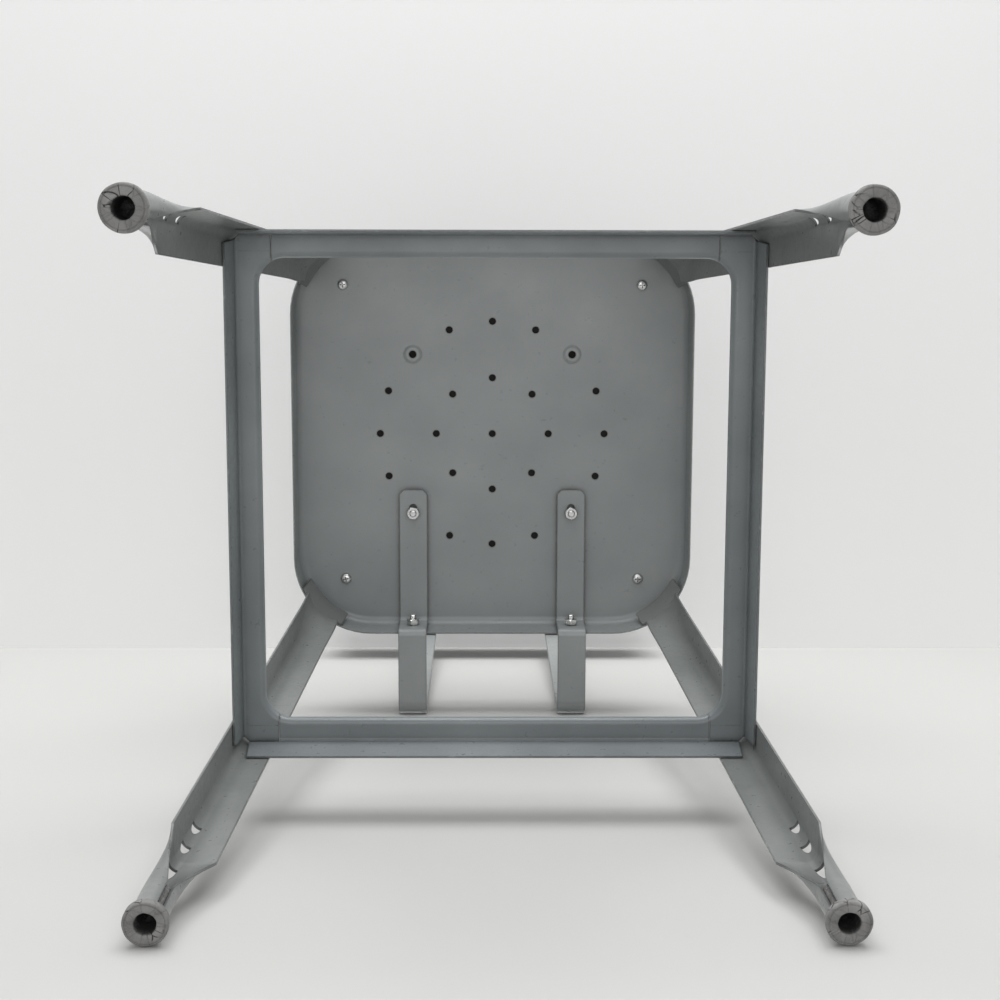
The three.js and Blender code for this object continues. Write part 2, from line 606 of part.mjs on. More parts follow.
function barSlot() {
  const radius = (BOLT_DIAMETER + HOLE_PLAY) / 2;
  const reach = (BAR_SLOT_LENGTH - 2 * radius) / 2;
  const middle = BOSS_PLACE - BAR_SLOT_SHIFT;
  const shape = new THREE.Shape();
  shape.absarc(0, middle + reach, radius, 0, Math.PI);
  shape.absarc(0, middle - reach, radius, Math.PI, 2 * Math.PI);
  return prism(shape, BAR_FLAT_LEVEL - BAR_THICKNESS, BAR_FLAT_LEVEL + BAR_THICKNESS, 5);
}

function rivetLevels() {
  return [RAIL_CENTRE_LEVEL - RAIL_RIVET_PITCH / 2, RAIL_CENTRE_LEVEL + RAIL_RIVET_PITCH / 2];
}

function backSupport() {
  const side = new THREE.ExtrudeGeometry(strip(barRoute(), BAR_THICKNESS), { depth: BAR_WIDTH, bevelEnabled: false });
  const body = side.rotateY(Math.PI / 2).rotateX(Math.PI / 2).translate(-BAR_WIDTH / 2, 0, 0);
  const rimHole = rearwardPost(BOLT_DIAMETER + HOLE_PLAY, 0, BAR_DROP_PLACE - BAR_THICKNESS, RIM_FACE);
  const rivetHoles = rivetLevels().map((level) => rearwardPost(RIVET_DIAMETER + HOLE_PLAY, 0,
    UPRIGHT_FRONT - 1, UPRIGHT_REAR + 1).translate(0, 0, level - REAR_BOLT_LEVEL));
  const solid = toSolid(body).intersect(barPlan());
  return toGeometry(cutAll(solid, [barSlot(), rimHole, ...rivetHoles]));
}

// ---------------------------------------------------------------- back rail

// The rail's middle line seen from above: flat across the two uprights, with ends that sweep forward.
function railRoute() {
  const steps = 6;
  const wing = [];
  for (let i = 0; i <= steps; i += 1) {
    const angle = RAIL_WING_ANGLE * i / steps;
    const x = RAIL_FLAT_HALF + RAIL_WING_RADIUS * Math.sin(angle);
    const y = RAIL_MIDDLE - RAIL_WING_RADIUS * (1 - Math.cos(angle));
    wing.push(new THREE.Vector2(x, y));
  }
  const mirrored = wing.map((point) => new THREE.Vector2(-point.x, point.y)).reverse();
  return [...mirrored, ...wing];
}

// The rail's section across the sheet: [offset from the middle line, height above the rail's centre].
function railSection() {
  const sheet = RAIL_SHEET / 2;
  const bead = RAIL_BEAD_DIAMETER / 2;
  const beadCentre = RAIL_HEIGHT / 2 - bead;
  const open = Math.asin(sheet / bead);
  const points = [];
  const steps = 6;
  for (let i = 0; i <= steps; i += 1) {
    const angle = -Math.PI / 2 + open + (2 * Math.PI - 2 * open) * i / steps;
    points.push([bead * Math.cos(angle), beadCentre + bead * Math.sin(angle)]);
  }
  const lower = points.map(([offset, height]) => [-offset, -height]);
  return [...points, ...lower];
}

// The section carried along the route, one ring of points at each place on it.
function railRings() {
  const route = railRoute();
  const section = railSection();
  return route.map((point, i) => {
    const before = route[Math.max(0, i - 1)];
    const after = route[Math.min(route.length - 1, i + 1)];
    const along = after.clone().sub(before).normalize();
    const normal = new THREE.Vector2(-along.y, along.x);
    return section.map(([offset, height]) => new THREE.Vector3(
      point.x + normal.x * offset, point.y + normal.y * offset, RAIL_CENTRE_LEVEL + height));
  });
}

function railBody() {
  const rings = railRings();
  const section = railSection();
  const count = section.length;
  const outline = section.map(([offset, height]) => new THREE.Vector2(offset, height));
  const caps = THREE.ShapeUtils.triangulateShape(outline, []);
  const indices = [];
  for (let s = 0; s < rings.length - 1; s += 1) {
    for (let i = 0; i < count; i += 1) {
      const [a, b] = [s * count + i, s * count + (i + 1) % count];
      indices.push(a, b, b + count, a, b + count, a + count);
    }
  }
  const last = (rings.length - 1) * count;
  for (const [a, b, c] of caps) {
    indices.push(a, c, b);
    indices.push(last + a, last + b, last + c);
  }
  const geometry = new THREE.BufferGeometry().setFromPoints(rings.flat());
  geometry.setIndex(indices);
  return toSolid(geometry);
}

function rivetPlaces() {
  return [-BOSS_PLACE, BOSS_PLACE].flatMap((x) => rivetLevels().map((level) => [x, level]));
}

// The back rail: sheet with a rolled bead along both edges, and four bosses pressed back onto the uprights.
function backRail() {
  const sheetRear = RAIL_MIDDLE + RAIL_SHEET / 2;
  let rail = railBody();
  for (const [x, level] of rivetPlaces()) {
    const boss = new THREE.CylinderGeometry(RAIL_BOSS_DIAMETER / 2, RAIL_BOSS_DIAMETER / 2 + 2,
      RAIL_BOSS_HEIGHT + RAIL_SHEET / 2, 14);
    const middle = sheetRear + (RAIL_BOSS_HEIGHT - RAIL_SHEET / 2) / 2;
    rail = rail.add(toSolid(boss.translate(x, middle, level)));
  }
  const holes = rivetPlaces().map(([x, level]) => {
    const hole = new THREE.CylinderGeometry((RIVET_DIAMETER + HOLE_PLAY) / 2,
      (RIVET_DIAMETER + HOLE_PLAY) / 2, 4 * RAIL_BEAD_DIAMETER, 10);
    return hole.translate(x, RAIL_MIDDLE, level);
  });
  return toGeometry(cutAll(rail, holes));
}

// ---------------------------------------------------------------- upholstery

function seatBoard() {
  const half = RIM_FACE - BOARD_INSET;
  const slab = toSolid(softSlab(half, PAN_CORNER_RADIUS - BOARD_INSET, BOARD_BOTTOM, BOARD_TOP, 1.2, 1));
  const headHoles = [-BOSS_PLACE, BOSS_PLACE].map((x) => post((BOLT_HEAD_DIAMETER + HEAD_PLAY) / 2,
    x, BOSS_PLACE, BOARD_BOTTOM - 1, BOARD_TOP + 1, 14));
  const screwHoles = fourCorners(SCREW_SQUARE / 2).map(([x, y]) => post((SCREW_DIAMETER + HOLE_PLAY) / 2,
    x, y, BOARD_BOTTOM - 1, BOARD_BOTTOM + SCREW_GRIP + GAP, 10));
  return toGeometry(cutAll(slab, [...headHoles, ...screwHoles]));
}

function seatPad() {
  const half = RIM_FACE - PAD_INSET;
  return softSlab(half, PAN_CORNER_RADIUS - PAD_INSET, PAD_BOTTOM, PAD_BOTTOM + PAD_THICKNESS, PAD_EDGE_RADIUS);
}

// ---------------------------------------------------------------- fasteners

// Low round head at level 0 and above, shank below.
function bolt(headDiameter, headHeight, diameter, length) {
  const head = headDiameter / 2;
  const shank = diameter / 2;
  return turned([
    [0, -length], [shank - 0.6, -length], [shank, -length + 0.6], [shank, 0], [head, 0],
    [head, headHeight * 0.35], [head * 0.72, headHeight * 0.85], [0, headHeight],
  ], 12);
}

// A hexagon nut from level 0 up, bored to clear the bolt.
function nut() {
  const outer = NUT_ACROSS_FLATS / Math.sqrt(3);
  const body = new THREE.CylinderGeometry(outer, outer, NUT_HEIGHT, 6).rotateX(Math.PI / 2);
  const crown = turned([[0, -1], [outer * 0.92, -1], [outer * 1.01, NUT_HEIGHT - 1], [outer * 0.86, NUT_HEIGHT],
    [0, NUT_HEIGHT]], 24);
  const solid = toSolid(body.translate(0, 0, NUT_HEIGHT / 2)).intersect(toSolid(crown));
  const bore = post((BOLT_DIAMETER + 2 * GAP) / 2, 0, 0, -1, NUT_HEIGHT + 1, 12);
  return toGeometry(solid.subtract(toSolid(bore)));
}

// Pan head below, with a cross recess, and the shank above.
function padScrew() {
  const length = PAN_SHEET + GAP + SCREW_GRIP + GAP;
  const solid = toSolid(bolt(SCREW_HEAD_DIAMETER, SCREW_HEAD_HEIGHT, SCREW_DIAMETER, length));
  const arm = SCREW_HEAD_DIAMETER * 0.28;
  const slot = 0.55;
  const floor = SCREW_HEAD_HEIGHT * 0.45;
  const cross = [block(-arm, arm, -slot, slot, floor, SCREW_HEAD_HEIGHT + 1),
    block(-slot, slot, -arm, arm, floor, SCREW_HEAD_HEIGHT + 1)];
  return toGeometry(cutAll(solid, cross)).rotateX(Math.PI);
}

// A rivet along Y: the front head on the sheet, the rear head on the upright.
function rivet() {
  const front = RAIL_MIDDLE - RAIL_SHEET / 2 - GAP;
  const grip = UPRIGHT_REAR + GAP - front;
  const [head, rise, shank] = [RIVET_HEAD_DIAMETER / 2, RIVET_HEAD_HEIGHT, RIVET_DIAMETER / 2];
  const body = turned([
    [0, -rise], [head * 0.7, -rise * 0.72], [head, 0], [shank, 0],
    [shank, grip], [head, grip], [head * 0.7, grip + rise * 0.72], [0, grip + rise],
  ], 12);
  return body.rotateX(-Math.PI / 2).translate(0, front, 0);
}

// ---------------------------------------------------------------- assembly

const chair = new THREE.Group();

function place(name, geometry, material, position = [0, 0, 0], rotation = [0, 0, 0]) {
  const mesh = new THREE.Mesh(geometry, material);
  mesh.name = name;
  mesh.position.set(...position);
  mesh.rotation.set(...rotation);
  chair.add(mesh);
}

function addSeat() {
  place('seat_pan', seatPan(), paint);
  place('seat_board', seatBoard(), plywood);
  place('seat_pad', seatPad(), vinyl);
  const names = ['front_left', 'front_right', 'rear_left', 'rear_right'];
  fourCorners(SCREW_SQUARE / 2).forEach(([x, y], i) => {
    place(`pad_screw_${names[i]}`, padScrew(), zinc, [x, y, SEAT_HEIGHT - GAP]);
  });
}

function addLegs() {
  const names = ['rear_right', 'rear_left', 'front_left', 'front_right'];
  names.forEach((name, turns) => {
    place(`leg_${name}`, leg(turns), paint);
    const angle = Math.PI / 4 + turns * Math.PI / 2;
    const reach = FOOT_CENTRE * Math.SQRT2;
    place(`foot_${name}`, foot(), rubber, [reach * Math.cos(angle), reach * Math.sin(angle), 0]);
  });
}

function addRing() {
  const side = toGeometry(ringSideBar());
  const end = toGeometry(ringEndBar());
  place('footrest_right', side, paint);
  place('footrest_left', side.clone(), paint, [0, 0, 0], [0, 0, Math.PI]);
  place('footrest_rear', end, paint, [0, 0, 0], [0, 0, Math.PI / 2]);
  place('footrest_front', end.clone(), paint, [0, 0, 0], [0, 0, -Math.PI / 2]);
}

function addBack() {
  place('back_rail', backRail(), paint);
  [['left', -BOSS_PLACE], ['right', BOSS_PLACE]].forEach(([side, x]) => {
    place(`back_support_${side}`, backSupport(), paint, [x, 0, 0]);
    ['lower', 'upper'].forEach((row, i) => {
      place(`rail_rivet_${side}_${row}`, rivet(), paint, [x, 0, rivetLevels()[i]]);
    });
  });
}

function addBolts() {
  const forwardHead = PAN_TOP - BOSS_HEIGHT + GAP;
  const forwardNut = BAR_TOP_FACE - BAR_THICKNESS - GAP;
  const forwardLength = forwardHead - forwardNut + NUT_HEIGHT + BOLT_END_PAST_NUT;
  const rearHead = RIM_FACE + GAP;
  const rearNut = BAR_DROP_PLACE - BAR_THICKNESS / 2 - GAP;
  const rearLength = rearHead - rearNut + NUT_HEIGHT + RIM_BOLT_END_PAST_NUT;
  [['left', -BOSS_PLACE], ['right', BOSS_PLACE]].forEach(([side, x]) => {
    const upright = bolt(BOSS_FACE_DIAMETER - 1, BOLT_HEAD_HEIGHT, BOLT_DIAMETER, forwardLength);
    const level = bolt(BOLT_HEAD_DIAMETER, BOLT_HEAD_HEIGHT, BOLT_DIAMETER, rearLength);
    place(`forward_bolt_${side}`, upright, zinc, [x, BOSS_PLACE, forwardHead]);
    place(`forward_nut_${side}`, nut(), zinc, [x, BOSS_PLACE, forwardNut], [Math.PI, 0, 0]);
    place(`rim_bolt_${side}`, level, zinc, [x, rearHead, REAR_BOLT_LEVEL], [-Math.PI / 2, 0, 0]);
    place(`rim_nut_${side}`, nut(), zinc, [x, rearNut, REAR_BOLT_LEVEL], [Math.PI / 2, 0, 0]);
  });
}

addSeat();
addLegs();
addRing();
addBack();
addBolts();

// The chair was drawn about the seat's axis; this brings the middle of its whole length over the origin.
chair.position.y = (FRONT_REACH - REAR_REACH) / 2;

export default chair;
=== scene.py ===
"""Looks for a counter-height stacking chair in painted pressed steel.

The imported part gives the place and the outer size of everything. Each class below holds the sizes
of one sub-assembly's details, builds it as finer meshes in the same place, and dresses it.
Lengths are in millimetres from the seat's axis on the floor until a Blank puts them in the frame.
"""

import logging
import math
import random
from contextlib import contextmanager
from dataclasses import dataclass
from enum import Enum
from typing import Callable, Iterator, Optional, Sequence

import bmesh
import bpy
from mathutils import Matrix, Vector


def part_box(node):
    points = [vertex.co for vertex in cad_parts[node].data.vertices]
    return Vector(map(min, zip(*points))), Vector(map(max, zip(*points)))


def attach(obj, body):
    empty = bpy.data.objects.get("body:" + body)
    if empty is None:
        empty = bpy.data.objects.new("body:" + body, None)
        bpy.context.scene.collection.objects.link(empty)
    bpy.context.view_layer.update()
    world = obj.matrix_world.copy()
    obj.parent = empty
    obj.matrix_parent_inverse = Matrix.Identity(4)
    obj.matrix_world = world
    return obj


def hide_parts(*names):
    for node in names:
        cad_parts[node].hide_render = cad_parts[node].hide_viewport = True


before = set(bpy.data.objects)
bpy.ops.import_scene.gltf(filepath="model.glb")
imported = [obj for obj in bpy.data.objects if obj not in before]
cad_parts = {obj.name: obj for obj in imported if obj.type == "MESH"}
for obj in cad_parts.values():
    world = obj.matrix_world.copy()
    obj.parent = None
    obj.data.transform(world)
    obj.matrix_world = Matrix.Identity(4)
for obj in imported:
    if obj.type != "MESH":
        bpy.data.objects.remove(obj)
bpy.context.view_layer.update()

LOG = logging.getLogger("chair")
MM = 0.001
BODY = "root"
FULL_TURN = 6.28

Place = tuple[float, float]
Row = list[Vector]
Colour = tuple[float, float, float]


class Slot(Enum):
    """The record's material slots."""

    PAINT = "paint"
    ZINC = "zinc"
    RUBBER = "rubber"
    BOARD = "board"
    VINYL = "vinyl"


class ShadedPaint(Enum):
    """Parts whose paint is painted darker than the slot's own as painted shade, with more soiling and
    painted shade in their corners.
    """

    RING = "ring"
    LEGS = "legs"


class Axis(Enum):
    """The way a lathe's spindle or a hole points."""

    UP = (0.0, 0.0, 1.0)
    DOWN = (0.0, 0.0, -1.0)
    REAR = (0.0, 1.0, 0.0)
    FRONT = (0.0, -1.0, 0.0)

    @property
    def turn(self) -> Matrix:
        """Turn that takes +Z to this way."""
        return Vector((0.0, 0.0, 1.0)).rotation_difference(Vector(self.value)).to_matrix().to_4x4()

    @property
    def tilt(self) -> float:
        """Angle about X that does the same."""
        tilts = {Axis.UP: 0.0, Axis.DOWN: math.pi, Axis.REAR: -math.pi / 2, Axis.FRONT: math.pi / 2}
        return tilts[self]


def mix(a: float, b: float, share: float) -> float:
    """The value a given share of the way from a to b."""
    return a + (b - a) * share


def smooth(low: float, high: float, value: float) -> float:
    """0 below low, 1 above high, and an S-curve between them."""
    t = min(1.0, max(0.0, (value - low) / (high - low)))
    return t * t * (3.0 - 2.0 * t)


def spread(low: float, high: float, count: int) -> list[float]:
    """Evenly spaced values, both ends included."""
    return [mix(low, high, i / (count - 1)) for i in range(count)]


@dataclass(frozen=True)
class Datum:
    """Places that everything is set out from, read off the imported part.

    Args:
        axis_y: where the seat's axis stands in the frame, from the frame's origin.
        pan_top: upper face of the pan's sheet.
        rim_bottom: lower edge of the pan's rim.
        rim_face: outside of the rim from the seat's axis.
        rail_top: upper edge of the back rail.
        upright_rear: rear face of the back supports.
        upright_top: top of the back supports.
        ring_lip_top: top of the lip round the footrest ring's opening.
        foot_centre: a foot's axis from the seat's axis, along X and along Y.
    """

    axis_y: float
    pan_top: float
    rim_bottom: float
    rim_face: float
    rail_top: float
    upright_rear: float
    upright_top: float
    ring_lip_top: float
    foot_centre: float

    @classmethod
    def from_part(cls) -> "Datum":
        """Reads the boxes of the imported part's nodes.

        Returns:
            The datum, in millimetres.
        """
        pan_low, pan_high = (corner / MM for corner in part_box("seat_pan"))
        rail_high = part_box("back_rail")[1] / MM
        support_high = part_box("back_support_left")[1] / MM
        lip_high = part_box("footrest_right")[1] / MM
        foot_low, foot_high = (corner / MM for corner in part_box("foot_rear_right"))
        axis_y = (pan_low.y + pan_high.y) / 2
        return cls(
            axis_y=axis_y,
            pan_top=pan_high.z,
            rim_bottom=pan_low.z,
            rim_face=pan_high.x,
            rail_top=rail_high.z,
            upright_rear=support_high.y - axis_y,
            upright_top=support_high.z,
            ring_lip_top=lip_high.z,
            foot_centre=(foot_low.x + foot_high.x) / 2,
        )


DATUM = Datum.from_part()


def put_in_scene(name: str, data: bpy.types.ID) -> bpy.types.Object:
    """Makes an object of some data and links it to the scene."""
    obj = bpy.data.objects.new(name, data)
    bpy.context.scene.collection.objects.link(obj)
    return obj


class Blank:
    """A mesh on the bench: shaped one operation after another, with its place in its vertices."""

    def __init__(self, name: str) -> None:
        """Args:
            name: name of the finished piece.
        """
        self.obj = put_in_scene(name, bpy.data.meshes.new(name))

    @property
    def mesh(self) -> bpy.types.Mesh:
        """The mesh as it stands."""
        return self.obj.data

    @contextmanager
    def edit(self) -> Iterator[bmesh.types.BMesh]:
        """Opens the mesh for one edit and puts it back."""
        work = bmesh.new()
        work.from_mesh(self.mesh)
        yield work
        work.to_mesh(self.mesh)
        work.free()

    @staticmethod
    def drop_in(work: bmesh.types.BMesh, points: Sequence[Vector]) -> list[bmesh.types.BMVert]:
        """Adds vertices for points in millimetres from the seat's axis on the floor."""
        shift = Vector((0.0, DATUM.axis_y, 0.0))
        return [work.verts.new((Vector(p) + shift) * MM) for p in points]

    def add(self, points: Sequence[Vector], faces: Sequence[Sequence[int]]) -> "Blank":
        """Adds faces.

        Args:
            points: in millimetres from the seat's axis on the floor.
            faces: indices into points.

        Returns:
            This blank.
        """
        with self.edit() as work:
            made = self.drop_in(work, points)
            for face in faces:
                work.faces.new([made[i] for i in face])
        return self

    def wire(self, points: Row, closed: bool = True) -> "Blank":
        """Adds a line of edges without a face, closed on itself or open."""
        with self.edit() as work:
            made = self.drop_in(work, points)
            for i in range(0 if closed else 1, len(made)):
                work.edges.new((made[i - 1], made[i]))
        return self

    def patch(self, rows: Sequence[Row], round_way: bool = False) -> "Blank":
        """Adds a grid of quads between rows of points.

        Args:
            rows: rows with the same number of points.
            round_way: whether each row closes on itself.

        Returns:
            This blank.
        """
        width = len(rows[0])
        points = [p for row in rows for p in row]
        faces = []
        for r in range(len(rows) - 1):
            for c in range(width if round_way else width - 1):
                d = (c + 1) % width
                faces.append((r * width + c, r * width + d, (r + 1) * width + d, (r + 1) * width + c))
        return self.add(points, faces)

    def cap(self, row: Row) -> "Blank":
        """Closes an end with one flat face."""
        return self.add(row, [tuple(range(len(row)))])

    def weld(self, reach: float = 0.01) -> "Blank":
        """Joins points closer than reach and points every face outwards."""
        with self.edit() as work:
            bmesh.ops.remove_doubles(work, verts=work.verts, dist=reach * MM)
            bmesh.ops.dissolve_degenerate(work, edges=work.edges, dist=reach * MM / 2)
            bmesh.ops.recalc_face_normals(work, faces=work.faces)
        return self

    def scrap(self) -> None:
        """Throws the blank away."""
        mesh = self.obj.data
        bpy.data.objects.remove(self.obj)
        bpy.data.meshes.remove(mesh)

    def bake(self) -> "Blank":
        """Turns the modifiers into plain mesh."""
        graph = bpy.context.evaluated_depsgraph_get()
        shaped = bpy.data.meshes.new_from_object(self.obj.evaluated_get(graph))
        self.obj.modifiers.clear()
        old = self.obj.data
        self.obj.data = shaped
        shaped.name = self.obj.name
        bpy.data.meshes.remove(old)
        return self

    def change(self, kind: str, **settings: object) -> "Blank":
        """Puts the mesh through one modifier with these settings."""
        step = self.obj.modifiers.new(kind.lower(), kind)
        for key, value in settings.items():
            setattr(step, key, value)
        return self.bake()

    def thicken(self, sheet: float) -> "Blank":
        """Gives a middle surface the thickness of its sheet, half to each side."""
        even = {"use_even_offset": True, "use_quality_normals": True}
        return self.change("SOLIDIFY", thickness=sheet * MM, offset=0.0, **even)

    def ease(self, width: float, segments: int = 2, angle: float = 40.0) -> "Blank":
        """Rounds every edge that turns by more than angle degrees."""
        limit = {"limit_method": "ANGLE", "angle_limit": math.radians(angle), "use_clamp_overlap": True}
        return self.change("BEVEL", width=width * MM, segments=segments, **limit)

    def cut(self, tool: "Blank", operation: str = "DIFFERENCE") -> "Blank":
        """Cuts, joins or intersects with a closed tool, which is used up."""
        self.change("BOOLEAN", solver="EXACT", operation=operation, object=tool.obj)
        tool.scrap()
        return self

    def slice(self, point: Place, normal: Place) -> "Blank":
        """Removes what lies beyond an upright plane.

        Args:
            point: a point on the plane, seen from above.
            normal: the side that goes, seen from above.

        Returns:
            This blank.
        """
        with self.edit() as work:
            bmesh.ops.bisect_plane(
                work,
                geom=[*work.verts, *work.edges, *work.faces],
                plane_co=Vector((point[0], point[1] + DATUM.axis_y, 0.0)) * MM,
                plane_no=Vector((*normal, 0.0)).normalized(),
                clear_outer=True,
            )
        return self

    def turned(self, name: str, degrees: float) -> "Blank":
        """A copy turned round the seat's upright axis."""
        copy = Blank(name)
        old = copy.obj.data
        copy.obj.data = self.mesh.copy()
        copy.obj.data.name = name
        bpy.data.meshes.remove(old)
        centre = Matrix.Translation(Vector((0.0, DATUM.axis_y, 0.0)) * MM)
        turn = Matrix.Rotation(math.radians(degrees), 4, "Z")
        copy.obj.data.transform(centre @ turn @ centre.inverted())
        return copy

    def finish_faces(self, angle: float = 38.0, weighted: bool = True) -> "Blank":
        """Shades the faces smooth up to angle degrees, with flats kept flat."""
        self.mesh.shade_smooth()
        self.mesh.set_sharp_from_angle(angle=math.radians(angle))
        if weighted:
            self.change("WEIGHTED_NORMAL", keep_sharp=True, weight=80)
        return self


def circle(radius: float, level: float, count: int, centre: Place = (0.0, 0.0)) -> Row:
    """A level ring of points, starting on +X."""
    return [
        Vector((centre[0] + radius * math.cos(a), centre[1] + radius * math.sin(a), level))
        for a in (2 * math.pi * i / count for i in range(count))
    ]


def rounded_square(half: float, radius: float, level: float, arc: int = 14, side: int = 10) -> Row:
    """A level ring of points round a square with rounded corners."""
    straight = half - radius
    ring: Row = []
    for quarter in range(4):
        turn = Matrix.Rotation(quarter * math.pi / 2, 3, "Z")
        for i in range(side):
            ring.append(turn @ Vector((half, mix(-straight, straight, i / side), level)))
        for i in range(arc):
            a = math.pi / 2 * i / arc
            corner = (straight + radius * math.cos(a), straight + radius * math.sin(a), level)
            ring.append(turn @ Vector(corner))
    return ring


def tube(name: str, rows: Sequence[Row]) -> Blank:
    """A closed solid on rings of points, with a flat face at each end."""
    return Blank(name).patch(rows, round_way=True).cap(rows[0]).cap(rows[-1]).weld()


def lathe(
    name: str,
    profile: Sequence[Place],
    count: int = 32,
    axis: Axis = Axis.UP,
    at: Sequence[float] = (0.0, 0.0, 0.0),
    ripple: Optional[Callable[[float, float], float]] = None,
) -> Blank:
    """Turns a closed solid.

    Args:
        name: name of the piece.
        profile: (radius, height) pairs; the ends are closed with flat faces.
        count: points round.
        axis: the way the spindle points.
        at: where height 0 on the spindle goes.
        ripple: extra radius at an angle and a height.

    Returns:
        The solid as a blank.
    """
    rows = []
    for radius, height in profile:
        row = circle(radius, height, count)
        if ripple:
            for p in row:
                extra = 1.0 + ripple(math.atan2(p.y, p.x), height) / max(radius, 1.0)
                p.x, p.y = p.x * extra, p.y * extra
        rows.append(row)
    place = Matrix.Translation(Vector(at)) @ axis.turn
    rows = [[place @ p for p in row] for row in rows]
    return tube(name, rows)


def drill(
    diameter: float, low: float, high: float, count: int, axis: Axis, at: Sequence[float]
) -> Blank:
    """A tool for a round hole, from low to high along its axis."""
    return lathe("tool", [(diameter / 2, low), (diameter / 2, high)], count, axis, at)


def prism(name: str, outline: Sequence[Place], low: float, high: float) -> Blank:
    """A closed upright prism on a flat outline."""
    rows = [[Vector((x, y, z)) for x, y in outline] for z in (low, high)]
    return tube(name, rows)


# --- node trees


class Nodes:
    """Short calls for building a node tree."""

    def __init__(self, tree: bpy.types.NodeTree) -> None:
        """Args:
            tree: the tree to build in.
        """
        self.tree = tree

    def add(self, kind: str, links: Optional[dict] = None, **settings: object) -> bpy.types.Node:
        """Adds a node.

        Args:
            kind: the node's type name.
            links: input name or index to a value or to another node's output.
            settings: properties of the node.

        Returns:
            The node.
        """
        node = self.tree.nodes.new(kind)
        for key, value in settings.items():
            setattr(node, key, value)
        for key, value in (links or {}).items():
            self.feed(node.inputs[key], value)
        return node

    def feed(self, socket: bpy.types.NodeSocket, value: object) -> None:
        """Links an output to a socket, or sets the socket's own value."""
        if isinstance(value, bpy.types.NodeSocket):
            self.tree.links.new(value, socket)
        else:
            socket.default_value = value

    def math(self, operation: str, a: object, b: object = 0.0) -> bpy.types.NodeSocket:
        """One Math node's output."""
        return self.add("ShaderNodeMath", {0: a, 1: b}, operation=operation).outputs[0]

    def dot(self, a: object, b: object) -> bpy.types.NodeSocket:
        """How far two directions agree."""
        node = self.add("ShaderNodeVectorMath", {0: a, 1: b}, operation="DOT_PRODUCT")
        return node.outputs["Value"]

    def cells(self, place: object, scale: float) -> bpy.types.NodeSocket:
        """Distance to the nearest border between cells."""
        links = {"Vector": place, "Scale": scale}
        return self.add("ShaderNodeTexVoronoi", links, feature="DISTANCE_TO_EDGE").outputs[0]

    def ramp(
        self, value: object, low: float, high: float, to: Place = (0.0, 1.0)
    ) -> bpy.types.NodeSocket:
        """Maps a value's range from low to high onto another, and holds it at its ends."""
        links = {"Value": value, "From Min": low, "From Max": high, "To Min": to[0], "To Max": to[1]}
        return self.add("ShaderNodeMapRange", links).outputs[0]


class GeometryTree(Nodes):
    """A geometry node group with named inputs that ends in Realize Instances and Set Material."""

    SOCKETS = {float: "NodeSocketFloat", int: "NodeSocketInt", bpy.types.Object: "NodeSocketObject"}

    def __init__(self, name: str, sizes: dict[str, type]) -> None:
        """Args:
            name: name of the tree.
            sizes: input name to its type.
        """
        super().__init__(bpy.data.node_groups.new(name, "GeometryNodeTree"))
        face = self.tree.interface
        face.new_socket("Geometry", in_out="OUTPUT", socket_type="NodeSocketGeometry")
        face.new_socket("Geometry", in_out="INPUT", socket_type="NodeSocketGeometry")
        for label, kind in sizes.items():
            face.new_socket(label, in_out="INPUT", socket_type=self.SOCKETS[kind])
        face.new_socket("Finish", in_out="INPUT", socket_type="NodeSocketMaterial")
        self.given = self.add("NodeGroupInput").outputs

    def join(self, *parts: bpy.types.Node) -> bpy.types.NodeSocket:
        """The parts' geometry in one."""
        whole = self.add("GeometryNodeJoinGeometry")
        for part in parts:
            self.tree.links.new(part.outputs[0], whole.inputs[0])
        return whole.outputs[0]

    def close(self, geometry: bpy.types.NodeSocket) -> None:
        """Ends the tree."""
        whole = self.add("GeometryNodeRealizeInstances", {"Geometry": geometry})
        coat = self.add(
            "GeometryNodeSetMaterial",
            {"Geometry": whole.outputs[0], "Material": self.given["Finish"]},
        )
        self.add("NodeGroupOutput", {0: coat.outputs[0]})

    def run(self, blank: Blank, values: dict[str, object], finish: bpy.types.Material) -> Blank:
        """Runs the tree on a blank.

        Args:
            blank: the blank whose mesh goes in and comes back changed.
            values: input name to its value.
            finish: the material that the tree sets.

        Returns:
            The blank.
        """
        step = blank.obj.modifiers.new("nodes", "NODES")
        step.node_group = self.tree
        for item in self.tree.interface.items_tree:
            if item.in_out == "INPUT" and item.name in values:
                step[item.identifier] = values[item.name]
            if item.in_out == "INPUT" and item.name == "Finish":
                step[item.identifier] = finish
        return blank.bake()


